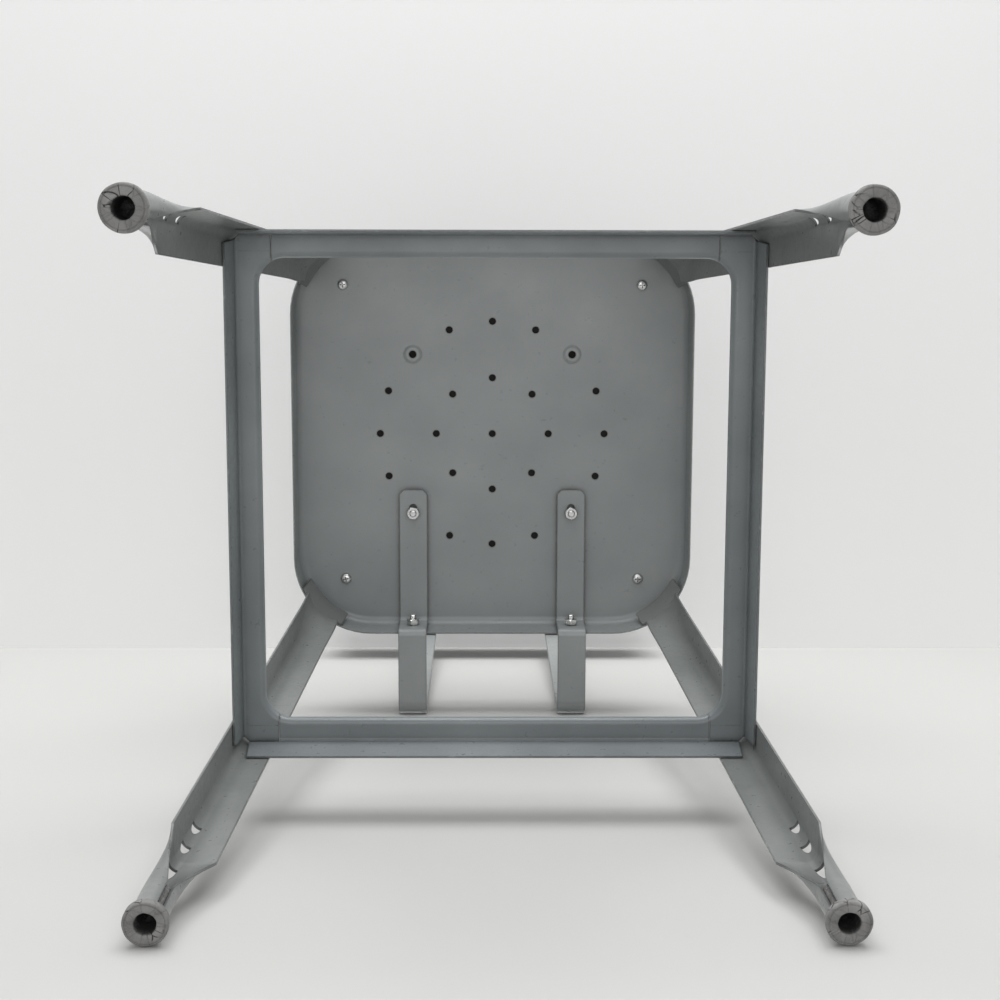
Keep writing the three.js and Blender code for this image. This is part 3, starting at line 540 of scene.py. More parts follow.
def vent_tree() -> GeometryTree:
    """Fills flat outlines and leaves round vents: one, eight on a circle, twelve on twice that circle.

    Returns:
        The tree. Its input geometry is the outline edges.
    """
    labels = ("Pitch", "Vent Diameter", "Level", "Axis Y")
    tree = GeometryTree("vents", {label: float for label in labels})
    pitch, diameter, level, axis_y = (tree.given[label] for label in labels)
    inner = tree.add("GeometryNodeMeshCircle", {"Vertices": 8, "Radius": pitch})
    double = tree.math("MULTIPLY", pitch, 2.0)
    outer = tree.add("GeometryNodeMeshCircle", {"Vertices": 16, "Radius": double})
    index = tree.add("GeometryNodeInputIndex").outputs[0]
    quarter = tree.math("MODULO", index, 4.0)
    diagonal = tree.math("COMPARE", quarter, 2.0)
    dropped = {"Geometry": outer.outputs[0], "Selection": diagonal}
    kept = tree.add("GeometryNodeDeleteGeometry", dropped, domain="POINT")
    middle = tree.add("GeometryNodeMeshLine", {"Count": 1})
    places = tree.join(middle, kept, inner)
    shift = tree.add("ShaderNodeCombineXYZ", {"Y": axis_y}).outputs[0]
    placed = tree.add("GeometryNodeSetPosition", {"Geometry": places, "Offset": shift})
    hole = tree.add(
        "GeometryNodeCurvePrimitiveCircle",
        {"Resolution": 28, "Radius": tree.math("MULTIPLY", diameter, 0.5)},
    )
    spots = tree.add("GeometryNodeMeshToPoints", {0: placed.outputs[0]})
    set_out = {"Points": spots.outputs[0], "Instance": hole.outputs[0]}
    holes = tree.add("GeometryNodeInstanceOnPoints", set_out)
    rings = tree.add("GeometryNodeRealizeInstances", {"Geometry": holes.outputs[0]})
    outline = tree.add("GeometryNodeMeshToCurve", {0: tree.given["Geometry"]})
    sheet = tree.add("GeometryNodeFillCurve", {0: tree.join(rings, outline)})
    lift = tree.add("ShaderNodeCombineXYZ", {"Z": level}).outputs[0]
    raised = tree.add("GeometryNodeSetPosition", {"Geometry": sheet.outputs[0], "Offset": lift})
    tree.close(raised.outputs[0])
    return tree


def fastener_tree() -> GeometryTree:
    """Puts one master on every point, spun at random about its own spindle.

    Returns:
        The tree. Its input geometry is the points; the master stands on +Z with its seat at 0.
    """
    tree = GeometryTree(
        "fasteners", {"Master": bpy.types.Object, "Tilt": float, "Spin": float, "Seed": int}
    )
    source = {"Object": tree.given["Master"]}
    master = tree.add("GeometryNodeObjectInfo", source, transform_space="ORIGINAL")
    most = {"Max": tree.given["Spin"], "Seed": tree.given["Seed"]}
    spin = tree.add("FunctionNodeRandomValue", most, data_type="FLOAT")
    about = next(s for s in spin.outputs if s.enabled)
    for socket in spin.inputs:
        if socket.enabled and socket.name == "Max":
            tree.feed(socket, tree.given["Spin"])
    turn = tree.add("ShaderNodeCombineXYZ", {"Z": about}).outputs[0]
    tilt = tree.add("ShaderNodeCombineXYZ", {"X": tree.given["Tilt"]}).outputs[0]
    points = tree.add("GeometryNodeMeshToPoints", {0: tree.given["Geometry"]})
    put = {"Points": points.outputs[0], "Instance": master.outputs["Geometry"]}
    stood = tree.add("GeometryNodeInstanceOnPoints", put)
    for rotation in (tilt, turn):
        links = {"Instances": stood.outputs[0], "Rotation": rotation, "Local Space": True}
        stood = tree.add("GeometryNodeRotateInstances", links)
    tree.close(stood.outputs[0])
    return tree


# --- finishes


class ShaderGroup(Nodes):
    """A shader node group with named inputs and outputs, built once and shared by the finishes."""

    def __init__(self, name: str, inputs: dict[str, float], outputs: Sequence[str]) -> None:
        """Args:
            name: name of the group.
            inputs: input name to its usual value.
            outputs: names of the value outputs.
        """
        super().__init__(bpy.data.node_groups.new(name, "ShaderNodeTree"))
        face = self.tree.interface
        for label, value in inputs.items():
            socket = face.new_socket(label, in_out="INPUT", socket_type="NodeSocketFloat")
            socket.default_value = value
        for label in outputs:
            face.new_socket(label, in_out="OUTPUT", socket_type="NodeSocketFloat")
        self.given = self.add("NodeGroupInput").outputs
        self.made = self.add("NodeGroupOutput").inputs
        self.place = self.add("ShaderNodeTexCoord").outputs["Object"]

    def noise(self, scale: object, detail: float, rough: float) -> bpy.types.NodeSocket:
        """One Noise node's value, on Object coordinates."""
        links = {"Vector": self.place, "Scale": scale, "Detail": detail, "Roughness": rough}
        return self.add("ShaderNodeTexNoise", links).outputs[0]


def peel_group() -> ShaderGroup:
    """Fine waviness of sprayed paint: a height."""
    group = ShaderGroup("orange peel", {"Pitch": 600.0}, ["Height"])
    fine = group.noise(group.given["Pitch"], 1.5, 0.4)
    slow = group.noise(38.0, 2.0, 0.5)
    slow_part = group.math("MULTIPLY", slow, 5.0)
    group.feed(group.made["Height"], group.math("ADD", fine, slow_part))
    return group


def mottle_group() -> ShaderGroup:
    """Slow and fine patches of colour: two values from 0 to 1."""
    group = ShaderGroup("mottle", {"Scale": 14.0}, ["Slow", "Fine"])
    slow = group.ramp(group.noise(group.given["Scale"], 4.0, 0.55), 0.3, 0.7)
    fine_scale = group.math("MULTIPLY", group.given["Scale"], 16.0)
    fine = group.ramp(group.noise(fine_scale, 5.0, 0.65), 0.3, 0.72)
    group.feed(group.made["Slow"], slow)
    group.feed(group.made["Fine"], fine)
    return group


def edge_group() -> ShaderGroup:
    """Along an edge: the whole line, which the paint darkens as painted shade, and the places where it has
    been rubbed. Two masks.
    """
    group = ShaderGroup("edge wear", {"Reach": 0.0008, "Amount": 0.5}, ["Line", "Mask"])
    rounded = group.add("ShaderNodeBevel", {"Radius": group.given["Reach"]}, samples=4).outputs[0]
    plain = group.add("ShaderNodeNewGeometry").outputs["Normal"]
    same = group.dot(rounded, plain)
    turned_away = group.ramp(group.math("SUBTRACT", 1.0, same), 0.006, 0.1)
    broken = group.ramp(group.noise(170.0, 6.0, 0.7), 0.56, 0.66)
    worn = group.math("MULTIPLY", turned_away, broken)
    group.feed(group.made["Line"], turned_away)
    group.feed(group.made["Mask"], group.math("MULTIPLY", worn, group.given["Amount"]))
    return group


def grime_and_shade_group() -> ShaderGroup:
    """Darkening in inside corners and joints from ambient occlusion, partly soiling and partly painted
    shade: a mask.
    """
    group = ShaderGroup("grime", {"Reach": 0.012, "Amount": 0.6}, ["Mask"])
    open_air = group.add(
        "ShaderNodeAmbientOcclusion", {"Distance": group.given["Reach"]}, samples=6
    ).outputs["AO"]
    closed = group.ramp(group.math("SUBTRACT", 1.0, open_air), 0.22, 0.62)
    broken = group.ramp(group.noise(120.0, 5.0, 0.65), 0.12, 0.5)
    grime_and_shade_mask = group.math("MULTIPLY", closed, broken)
    group.feed(group.made["Mask"], group.math("MULTIPLY", grime_and_shade_mask, group.given["Amount"]))
    return group


class Groups:
    """The shader groups that the finishes share, each built once."""

    made: dict[str, ShaderGroup] = {}
    makers: dict[str, Callable[[], ShaderGroup]] = {
        "peel": peel_group,
        "mottle": mottle_group,
        "edge": edge_group,
        "grime": grime_and_shade_group,
    }

    @classmethod
    def get(cls, name: str) -> bpy.types.NodeTree:
        """The node tree of a shared group."""
        if name not in cls.made:
            cls.made[name] = cls.makers[name]()
        return cls.made[name].tree


class Coat(Nodes):
    """One material's tree round a Principled BSDF, with short calls for what the finishes need."""

    def __init__(self, name: str) -> None:
        """Args:
            name: name of the material.
        """
        self.material = bpy.data.materials.new(name)
        self.material.use_nodes = True
        super().__init__(self.material.node_tree)
        self.shader = self.tree.nodes["Principled BSDF"]
        self.place = self.add("ShaderNodeTexCoord").outputs["Object"]

    def shared(self, name: str, **values: float) -> bpy.types.NodeOutputs:
        """Places a shared group and returns its outputs."""
        node = self.tree.nodes.new("ShaderNodeGroup")
        node.node_tree = Groups.get(name)
        for key, value in values.items():
            node.inputs[key.replace("_", " ").title()].default_value = value
        return node.outputs

    def blend(self, share: object, under: object, over: object) -> bpy.types.NodeSocket:
        """Mixes two colours."""
        node = self.add("ShaderNodeMix", data_type="RGBA")
        for index, value in ((0, share), (6, under), (7, over)):
            if isinstance(value, tuple):
                value = (*value, 1.0)
            self.feed(node.inputs[index], value)
        return node.outputs[2]

    def stretch(self, place: object, scale: Colour) -> bpy.types.NodeSocket:
        """A texture's place, scaled along each axis."""
        return self.add("ShaderNodeMapping", {"Vector": place, "Scale": scale}).outputs[0]

    def between(self, value: object, low: float, high: float) -> bpy.types.NodeSocket:
        """Spreads a value that runs from 0 to 1 between two numbers."""
        return self.ramp(value, 0.0, 1.0, (low, high))

    def set(self, **values: object) -> None:
        """Sets or links the shader's sockets."""
        for key, value in values.items():
            socket = self.shader.inputs[key.replace("_", " ").title().replace("Ior", "IOR")]
            if isinstance(value, tuple) and len(value) == 3:
                value = (*value, 1.0)
            self.feed(socket, value)

    def bump(
        self, height: object, strength: float, depth: float, under: object = None
    ) -> bpy.types.NodeSocket:
        """A bump of a given depth in metres, over another normal if one is given."""
        links = {"Height": height, "Strength": strength, "Distance": depth}
        if under is not None:
            links["Normal"] = under
        return self.add("ShaderNodeBump", links).outputs[0]


@dataclass(frozen=True)
class Paint:
    """Sprayed satin paint over sheet steel.

    Args:
        name: of the material.
        colour: where the paint is clean.
        deep: where it is patchy.
        bare: on rubbed edges.
        dirt_and_shade: in joints and inside corners, partly soiling and partly painted shade, and as
            painted shade along every edge.
        grime_and_shade_amount: how much of that darkening there is in corners.
        outline: how dark the painted shade along every edge is.
        roughness: least and most.
        patch_scale: how many patches to a metre.
        edge_reach: width of the rubbed edges and of the painted edge shade, in metres.
        grime_and_shade_reach: how far out of a corner the soiling and painted shade come, in metres.
        peel_pitch: how many waves of sprayed paint to a metre.
        peel_depth: of those waves, in metres.
    """

    name: str = "paint"
    colour: Colour = (0.272, 0.288, 0.286)
    deep: Colour = (0.212, 0.228, 0.228)
    bare: Colour = (0.50, 0.50, 0.49)
    dirt_and_shade: Colour = (0.030, 0.029, 0.028)
    grime_and_shade_amount: float = 0.8
    outline: float = 0.75
    roughness: Place = (0.26, 0.40)
    patch_scale: float = 11.0
    edge_reach: float = 0.0014
    grime_and_shade_reach: float = 0.007
    peel_pitch: float = 650.0
    peel_depth: float = 0.00006

    def build(self) -> bpy.types.Material:
        """The material."""
        coat = Coat(self.name)
        patches = coat.shared("mottle", scale=self.patch_scale)
        edges = coat.shared("edge", reach=self.edge_reach, amount=0.4)
        grime_and_shade_mask = coat.shared("grime", reach=self.grime_and_shade_reach, amount=self.grime_and_shade_amount)["Mask"]
        base = coat.blend(patches["Slow"], self.deep, self.colour)
        fine = coat.between(patches["Fine"], 0.0, 0.22)
        base = coat.blend(fine, base, self.deep)
        # Ambient occlusion darkens joints and inside corners: partly soiling, partly painted shade.
        base = coat.blend(grime_and_shade_mask, base, self.dirt_and_shade)
        # Painted shade: a dark line along every edge.
        base = coat.blend(coat.between(edges["Line"], 0.0, self.outline), base, self.dirt_and_shade)
        base = coat.blend(edges["Mask"], base, self.bare)
        gloss = coat.between(patches["Fine"], *self.roughness)
        coat.set(base_color=base, roughness=gloss, specular_ior_level=0.5)
        peel = coat.shared("peel", pitch=self.peel_pitch)["Height"]
        coat.set(normal=coat.bump(peel, 0.35, self.peel_depth))
        return coat.material


@dataclass(frozen=True)
class Zinc:
    """Bright zinc plate with faint brush lines and a little tarnish."""

    colour: Colour = (0.66, 0.67, 0.67)
    dull: Colour = (0.34, 0.33, 0.30)
    dirt_and_shade: Colour = (0.05, 0.048, 0.045)

    def build(self) -> bpy.types.Material:
        """The material."""
        coat = Coat("zinc")
        patches = coat.shared("mottle", scale=90.0)
        grime_and_shade_mask = coat.shared("grime", reach=0.002, amount=0.8)["Mask"]
        base = coat.blend(coat.between(patches["Fine"], 0.0, 0.5), self.colour, self.dull)
        # Ambient occlusion darkens crevices: partly soiling, partly painted shade.
        base = coat.blend(grime_and_shade_mask, base, self.dirt_and_shade)
        coat.set(base_color=base, roughness=coat.between(patches["Slow"], 0.2, 0.4), metallic=1.0)
        coat.set(normal=coat.bump(patches["Fine"], 0.2, 0.00003))
        return coat.material


@dataclass(frozen=True)
class Rubber:
    """Old grey rubber, dusty and cracked on its ground face, with painted shade darkening its bore and
    crevices.

    Args:
        colour: where the rubber is clean.
        pale: where it is dusty.
        crack_and_bore_shade: in the cracks and the bore.
        crack_width: distances from a crack's middle to its side and to the sound rubber.
        crack_patches: from which values of the slow patches there are cracks.
    """
    # crack_and_bore_shade: in the cracks, and as painted shade in the bore.

    colour: Colour = (0.135, 0.133, 0.130)
    pale: Colour = (0.300, 0.297, 0.290)
    crack_and_bore_shade: Colour = (0.018, 0.016, 0.015)
    crack_width: Place = (0.012, 0.045)
    crack_patches: Place = (0.56, 0.72)

    def build(self) -> bpy.types.Material:
        """The material."""
        coat = Coat("rubber")
        patches = coat.shared("mottle", scale=70.0)
        base = coat.blend(patches["Slow"], self.colour, self.pale)
        base = coat.blend(coat.between(patches["Fine"], 0.0, 0.5), base, self.colour)
        ring = coat.add("ShaderNodeUVMap", uv_map="turned").outputs[0]
        stretched = coat.stretch(ring, (1.0, 0.16, 1.0))
        split = coat.ramp(coat.cells(stretched, 11.0), *self.crack_width)
        shut = coat.math("SUBTRACT", 1.0, split)
        some = coat.ramp(patches["Slow"], *self.crack_patches)
        cracked = coat.math("MULTIPLY", shut, some)
        base = coat.blend(cracked, base, self.crack_and_bore_shade)
        # Painted shade: ambient occlusion darkens the bore and the crevices almost to black.
        bore_shade_mask = coat.shared("grime", reach=0.014, amount=0.97)["Mask"]
        base = coat.blend(bore_shade_mask, base, self.crack_and_bore_shade)
        coat.set(base_color=base, roughness=coat.between(patches["Fine"], 0.72, 0.9))
        grain = coat.bump(patches["Fine"], 0.4, 0.00025)
        coat.set(normal=coat.bump(split, 0.7, 0.0005, grain))
        return coat.material


@dataclass(frozen=True)
class Plywood:
    """Black-stained plywood, with its plies showing along the edge."""

    colour: Colour = (0.012, 0.0115, 0.011)
    ply: Colour = (0.036, 0.029, 0.024)
    ply_thickness: float = 0.0018

    def build(self) -> bpy.types.Material:
        """The material."""
        coat = Coat("board")
        split = coat.add("ShaderNodeSeparateXYZ", {"Vector": coat.place}).outputs[2]
        turns = coat.math("DIVIDE", split, self.ply_thickness * 2)
        layer = coat.math("GREATER_THAN", coat.math("FRACT", turns), 0.5)
        side = coat.add("ShaderNodeNewGeometry").outputs["Normal"]
        up = coat.add("ShaderNodeSeparateXYZ", {"Vector": side}).outputs[2]
        edge = coat.math("LESS_THAN", coat.math("ABSOLUTE", up), 0.5)
        long_way = coat.stretch(coat.place, (1.0, 18.0, 18.0))
        links = {"Vector": long_way, "Scale": 22.0, "Detail": 5.0}
        grain = coat.add("ShaderNodeTexNoise", links).outputs[0]
        base = coat.blend(coat.math("MULTIPLY", layer, edge), self.colour, self.ply)
        base = coat.blend(coat.between(grain, 0.0, 0.25), base, self.ply)
        coat.set(base_color=base, roughness=coat.between(grain, 0.55, 0.8), specular_ior_level=0.12)
        coat.set(normal=coat.bump(grain, 0.3, 0.0002))
        return coat.material


@dataclass(frozen=True)
class Vinyl:
    """Black seat vinyl with a fine leather grain."""

    colour: Colour = (0.014, 0.014, 0.015)
    worn: Colour = (0.030, 0.029, 0.028)

    def build(self) -> bpy.types.Material:
        """The material."""
        coat = Coat("vinyl")
        patches = coat.shared("mottle", scale=16.0)
        pebble = coat.ramp(coat.cells(coat.place, 620.0), 0.0, 0.25)
        coat.set(
            base_color=coat.blend(patches["Slow"], self.colour, self.worn),
            roughness=coat.between(patches["Fine"], 0.38, 0.52),
        )
        creases = coat.bump(patches["Slow"], 0.25, 0.0006)
        coat.set(normal=coat.bump(pebble, 0.45, 0.00018, creases))
        return coat.material


FINISHES = {
    Slot.PAINT: Paint(),
    # The ring's and the legs' paint: the seat's paint made darker as painted shade, with more painted shade
    # in corners and along edges.
    ShadedPaint.RING: Paint(
        name="paint_soiled",
        colour=(0.205, 0.226, 0.232),
        deep=(0.138, 0.154, 0.160),
        grime_and_shade_amount=0.97,
        outline=0.95,
    ),
    ShadedPaint.LEGS: Paint(
        name="paint_legs",
        colour=(0.188, 0.199, 0.194),
        deep=(0.132, 0.141, 0.138),
        grime_and_shade_amount=0.9,
        outline=0.85,
    ),
    Slot.ZINC: Zinc(),
    Slot.RUBBER: Rubber(),
    Slot.BOARD: Plywood(),
    Slot.VINYL: Vinyl(),
}


class FinishShelf:
    """The materials, each made the first time a piece asks for it."""

    made: dict[Enum, bpy.types.Material] = {}

    @classmethod
    def get(cls, slot: Enum) -> bpy.types.Material:
        """The material of a slot or of paint darkened as painted shade."""
        if slot not in cls.made:
            cls.made[slot] = FINISHES[slot].build()
        return cls.made[slot]


def hand_over(blank: Blank, slot: Slot, *nodes: str, finish: Optional[ShadedPaint] = None) -> None:
    """Dresses a finished piece, puts it on the chair and hides the plain nodes it stands for.

    Args:
        blank: the finished piece.
        slot: its material slot.
        nodes: the nodes that it replaces.
        finish: the paint darkened as painted shade to use in place of the slot's own.
    """
    obj = blank.obj
    obj.data.materials.clear()
    obj.data.materials.append(FinishShelf.get(finish or slot))
    for face in obj.data.polygons:
        face.material_index = 0
    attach(obj, BODY)
    if nodes:
        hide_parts(*nodes)
    LOG.info("%s: %d faces for %s", obj.name, len(obj.data.polygons), ", ".join(nodes) or "itself")


# --- seat


@dataclass
class SeatPan:
    """The pressed pan: a flat sheet with vents and bosses, folded down into a rim.

    Args:
        sheet: thickness.
        corner_radius: outside, seen from above.
        fold_radius: outside, where the flat turns into the rim.
        pitch: radius of the inner circle of vents.
        vent: diameter of a vent.
        boss_base: diameter where a boss leaves the flat.
        boss_face: diameter of its flat face.
        boss_height: how far it stands down.
        bolt_hole: diameter of the holes in the bosses and in the rim.
        screw_hole: diameter.
        screw_square: between the pad screws, both ways.
    """

    sheet: float = 1.2
    corner_radius: float = 68.0
    fold_radius: float = 8.0
    pitch: float = 50.0
    vent: float = 6.2
    boss_base: float = 17.0
    boss_face: float = 11.0
    boss_height: float = 1.6
    bolt_hole: float = 6.6
    screw_hole: float = 5.1
    screw_square: float = 264.0

    @property
    def middle(self) -> float:
        """Level of the middle of the flat sheet."""
        return DATUM.pan_top - self.sheet / 2

    @property
    def underside(self) -> float:
        """Level of the lower face of the flat sheet."""
        return DATUM.pan_top - self.sheet

    @property
    def boss_place(self) -> float:
        """A boss's distance from the axis along X and along Y."""
        return 2 * self.pitch * math.sqrt(0.5)

    def corners(self, distance: float) -> list[Place]:
        """Four places on the diagonals."""
        return [(x, y) for y in (-distance, distance) for x in (-distance, distance)]

    def loop(self, inset: float, level: float) -> Row:
        """The rounded square at an inset from the middle of the rim's sheet."""
        half = DATUM.rim_face - self.sheet / 2 - inset
        return rounded_square(half, self.corner_radius - self.sheet / 2 - inset, level)

    def rim(self, edge_inset: float) -> list[Row]:
        """Rings from the flat, over the fold and down the rim."""
        bend = self.fold_radius - self.sheet / 2
        rows = [self.loop(edge_inset, self.middle), self.loop(bend + 1.0, self.middle)]
        for a in spread(0.0, math.pi / 2, 9):
            rows.append(self.loop(bend - bend * math.sin(a), self.middle - bend + bend * math.cos(a)))
        rows += [self.loop(0.0, z) for z in spread(self.middle - bend, DATUM.rim_bottom, 6)[1:]]
        return rows

    def boss(self, centre: Place) -> list[Row]:
        """Rings from the flat down onto the boss and in to its hole."""
        base, face = self.boss_base / 2, self.boss_face / 2
        rows = [circle(base + 1.0, self.middle, 36, centre)]
        for share in spread(0.0, 1.0, 7):
            level = self.middle - self.boss_height * smooth(0.0, 1.0, share)
            rows.append(circle(mix(base, face, share), level, 36, centre))
        rows.append(circle(self.bolt_hole / 2, self.middle - self.boss_height, 36, centre))
        return rows

    def rim_hole(self, x: float, level: float) -> Blank:
        """A tool for one hole through the rear of the rim."""
        depth = 6 * self.sheet
        at = (x, DATUM.rim_face - depth / 2, level)
        return drill(self.bolt_hole, 0.0, depth, 28, Axis.REAR, at)

    def build(self, rim_bolt_level: float) -> None:
        """Makes the pan.

        Args:
            rim_bolt_level: level of the two holes in the rear of the rim.
        """
        edge_inset = self.fold_radius + 6.0
        pan = Blank("pan")
        pan.wire(self.loop(edge_inset, 0.0))
        for place in self.corners(self.boss_place):
            pan.wire(circle(self.boss_base / 2 + 1.0, 0.0, 36, place))
        for place in self.corners(self.screw_square / 2):
            pan.wire(circle(self.screw_hole / 2, 0.0, 24, place))
        sizes = {
            "Pitch": self.pitch * MM,
            "Vent Diameter": self.vent * MM,
            "Level": self.middle * MM,
            "Axis Y": DATUM.axis_y * MM,
        }
        vent_tree().run(pan, sizes, FinishShelf.get(Slot.PAINT))
        pan.patch(self.rim(edge_inset), round_way=True)
        for place in self.corners(self.boss_place):
            pan.patch(self.boss(place), round_way=True)
        pan.weld().thicken(self.sheet)
        for x in (-self.boss_place, self.boss_place):
            pan.cut(self.rim_hole(x, rim_bolt_level))
        pan.ease(0.22).finish_faces()
        hand_over(pan, Slot.PAINT, "seat_pan")


@dataclass
class SeatCushion:
    """The board screwed to the pan and the thin pad on it.

    Args:
        screw_hole: diameter of the pilot holes in the board.
        pilot_depth: of those holes.
        head_hole: diameter of the holes that clear the bolt heads.
        welt: diameter of the piping round the pad.
        welt_share: how far up the pad's side the piping runs.
        swell: air pressure inside the cover while it is blown up.
        most: furthest that a point of the cover may move.
        voxel: size of the cloth's mesh.
        shrink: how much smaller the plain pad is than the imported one, on each side.
        room: left above the plain pad for the swelling.
        steps: of the simulation.
        seam_depth: how far the side is pulled in at the piping.
        seam_width: half of the pulled-in band.
        profile: up the plain pad's side, (share of the height, inset) pairs.
    """

    screw_hole: float = 5.1
    pilot_depth: float = 7.5
    head_hole: float = 16.0
    welt: float = 3.4
    welt_share: float = 0.5
    swell: float = 4.0
    most: float = 5.0
    voxel: float = 5.0
    shrink: float = 3.0
    room: float = 4.5
    steps: int = 20
    seam_depth: float = 1.6
    seam_width: float = 2.6
    profile: tuple[Place, ...] = (
        (0.0, 5.0),
        (0.06, 2.4),
        (0.16, 1.0),
        (0.4, 0.0),
        (0.6, 0.0),
        (0.8, 2.0),
        (0.92, 5.5),
        (1.0, 11.0),
    )

    def board(self, pan: SeatPan) -> None:
        """Makes the board."""
        low, high = (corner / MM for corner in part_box("seat_board"))
        radius = pan.corner_radius - (DATUM.rim_face - high.x)
        rows = [rounded_square(high.x, radius, z) for z in (low.z, high.z)]
        board = tube("board", rows)
        below = low.z - 1
        for x in (-pan.boss_place, pan.boss_place):
            board.cut(drill(self.head_hole, below, high.z + 1, 32, Axis.UP, (x, pan.boss_place, 0.0)))
        for x, y in pan.corners(pan.screw_square / 2):
            board.cut(drill(self.screw_hole, below, low.z + self.pilot_depth, 20, Axis.UP, (x, y, 0.0)))
        board.ease(1.0, 3).finish_faces()
        hand_over(board, Slot.BOARD, "seat_board")

    def side(self, half: float, radius: float, low: float, high: float) -> list[Row]:
        """Rings up the side of the plain pad, eased at the top and the bottom."""
        height = high - low
        return [
            rounded_square(half - inset, radius - inset, low + share * height)
            for share, inset in self.profile
        ]

    def blow_up(self, pad: Blank, bottom: float) -> None:
        """Swells the cover with a cloth simulation and keeps its bottom flat.

        Args:
            pad: the plain pad.
            bottom: level of its flat bottom, which is held still.
        """
        mesh = pad.mesh
        before = [v.co.copy() for v in mesh.vertices]
        held = pad.obj.vertex_groups.new(name="held")
        for v in mesh.vertices:
            if v.co.z < (bottom + 1.5) * MM:
                held.add([v.index], 1.0, "REPLACE")
        cloth = pad.obj.modifiers.new("cover", "CLOTH")
        cloth.settings.use_pressure = True
        cloth.settings.uniform_pressure_force = self.swell
        cloth.settings.effector_weights.gravity = 0.0
        cloth.settings.vertex_group_mass = "held"
        cloth.settings.mass = 0.3
        cloth.settings.tension_stiffness = 12.0
        cloth.settings.compression_stiffness = 12.0
        cloth.collision_settings.use_collision = False
        scene = bpy.context.scene
        for step in range(1, self.steps + 1):
            scene.frame_set(step)
        pad.bake()
        for v, old in zip(pad.mesh.vertices, before):
            move = v.co - old
            if move.length > self.most * MM:
                v.co = old + move.normalized() * self.most * MM
        scene.frame_set(1)

    def pad(self, pan: SeatPan) -> None:
        """Makes the pad and its piping."""
        low, high = (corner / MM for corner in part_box("seat_pad"))
        half = high.x - self.shrink
        radius = pan.corner_radius - (DATUM.rim_face - high.x) - self.shrink
        rows = self.side(half, radius, low.z, high.z - self.room)
        pad = tube("seat_cover", rows)
        pad.change("REMESH", mode="VOXEL", voxel_size=self.voxel * MM)
        self.blow_up(pad, low.z)
        pad.change("SUBSURF", levels=1, render_levels=1)
        self.fit(pad, low, high)
        self.pinch(pad, low.z, high.z)
        pad.finish_faces(80.0, weighted=False)
        hand_over(pad, Slot.VINYL, "seat_pad")
        self.piping(pad, low.z, high.z)

    def fit(self, pad: Blank, low: Vector, high: Vector) -> None:
        """Keeps every point inside the pad's own box."""
        for v in pad.mesh.vertices:
            for k in range(3):
                v.co[k] = max(low[k] * MM, min(high[k] * MM, v.co[k]))

    def pinch(self, pad: Blank, low: float, high: float) -> None:
        """Pulls the side in where the piping's seam runs."""
        seam = mix(low, high, self.welt_share) * MM
        axis_y = DATUM.axis_y * MM
        for v in pad.mesh.vertices:
            depth = self.seam_depth * MM * math.exp(-(((v.co.z - seam) / (self.seam_width * MM)) ** 2))
            out = Vector((v.co.x, v.co.y - axis_y, 0.0))
            if out.length > 0.12:
                v.co -= out.normalized() * depth

    def piping(self, pad: Blank, low: float, high: float) -> None:
        """Lays the piping round the pad, following its side."""
        level = mix(low, high, self.welt_share)
        centre = Vector((0.0, DATUM.axis_y, level)) * MM
        half = Vector(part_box("seat_pad")[1]).x
        count = 288
        route: Row = []
        graph = bpy.context.evaluated_depsgraph_get()
        graph.update()
        for i in range(count):
            a = 2 * math.pi * i / count
            way = Vector((math.cos(a), math.sin(a), 0.0))
            start = centre + way * half * 2
            hit, where, _, _ = pad.obj.ray_cast(start, -way)
            if hit:
                local = where / MM - Vector((0.0, DATUM.axis_y, 0.0))
                route.append(local + way * (self.welt * 0.22))
        rows = []
        for i, point in enumerate(route):
            ahead = (route[(i + 1) % len(route)] - route[i - 1]).normalized()
            out = ahead.cross(Vector((0.0, 0.0, 1.0))).normalized()
            ring = []
            for j in range(10):
                b = 2 * math.pi * j / 10
                r = self.welt / 2
                ring.append(point + out * (r * math.cos(b)) + Vector((0.0, 0.0, r * math.sin(b))))
            rows.append(ring)
        rows.append(rows[0])
        welt = Blank("seat_piping").patch(rows, round_way=True).weld(0.05)
        welt.finish_faces(80.0, weighted=False)
        hand_over(welt, Slot.VINYL)


# --- legs and feet


@dataclass
class Trough:
    """A leg's open section at one level, for the leg on the +X +Y corner.

    Args:
        crown: the bend's crown from the axis, along X and along Y.
        radius: of the bend, to the middle of the sheet.
        half: flat width of one arm, measured round the bend.
    """

    crown: float
    radius: float
    half: float

    def at(self, along: float) -> tuple[Vector, Vector]:
        """Point and outward normal at a distance along the sheet from the crown.

        Args:
            along: from -half to half.

        Returns:
            The point and the normal, seen from above.
        """
        centre = self.crown - self.radius * math.sqrt(0.5)
        side = 1.0 if along >= 0 else -1.0
        bent = min(abs(along), self.radius * math.pi / 4)
        angle = math.pi / 4 + side * bent / self.radius
        straight = abs(along) - bent
        normal = Vector((math.cos(angle), math.sin(angle), 0.0))
        point = Vector((centre, centre, 0.0)) + normal * self.radius
        if side > 0:
            point.x -= straight
        else:
            point.y -= straight
        return point, normal


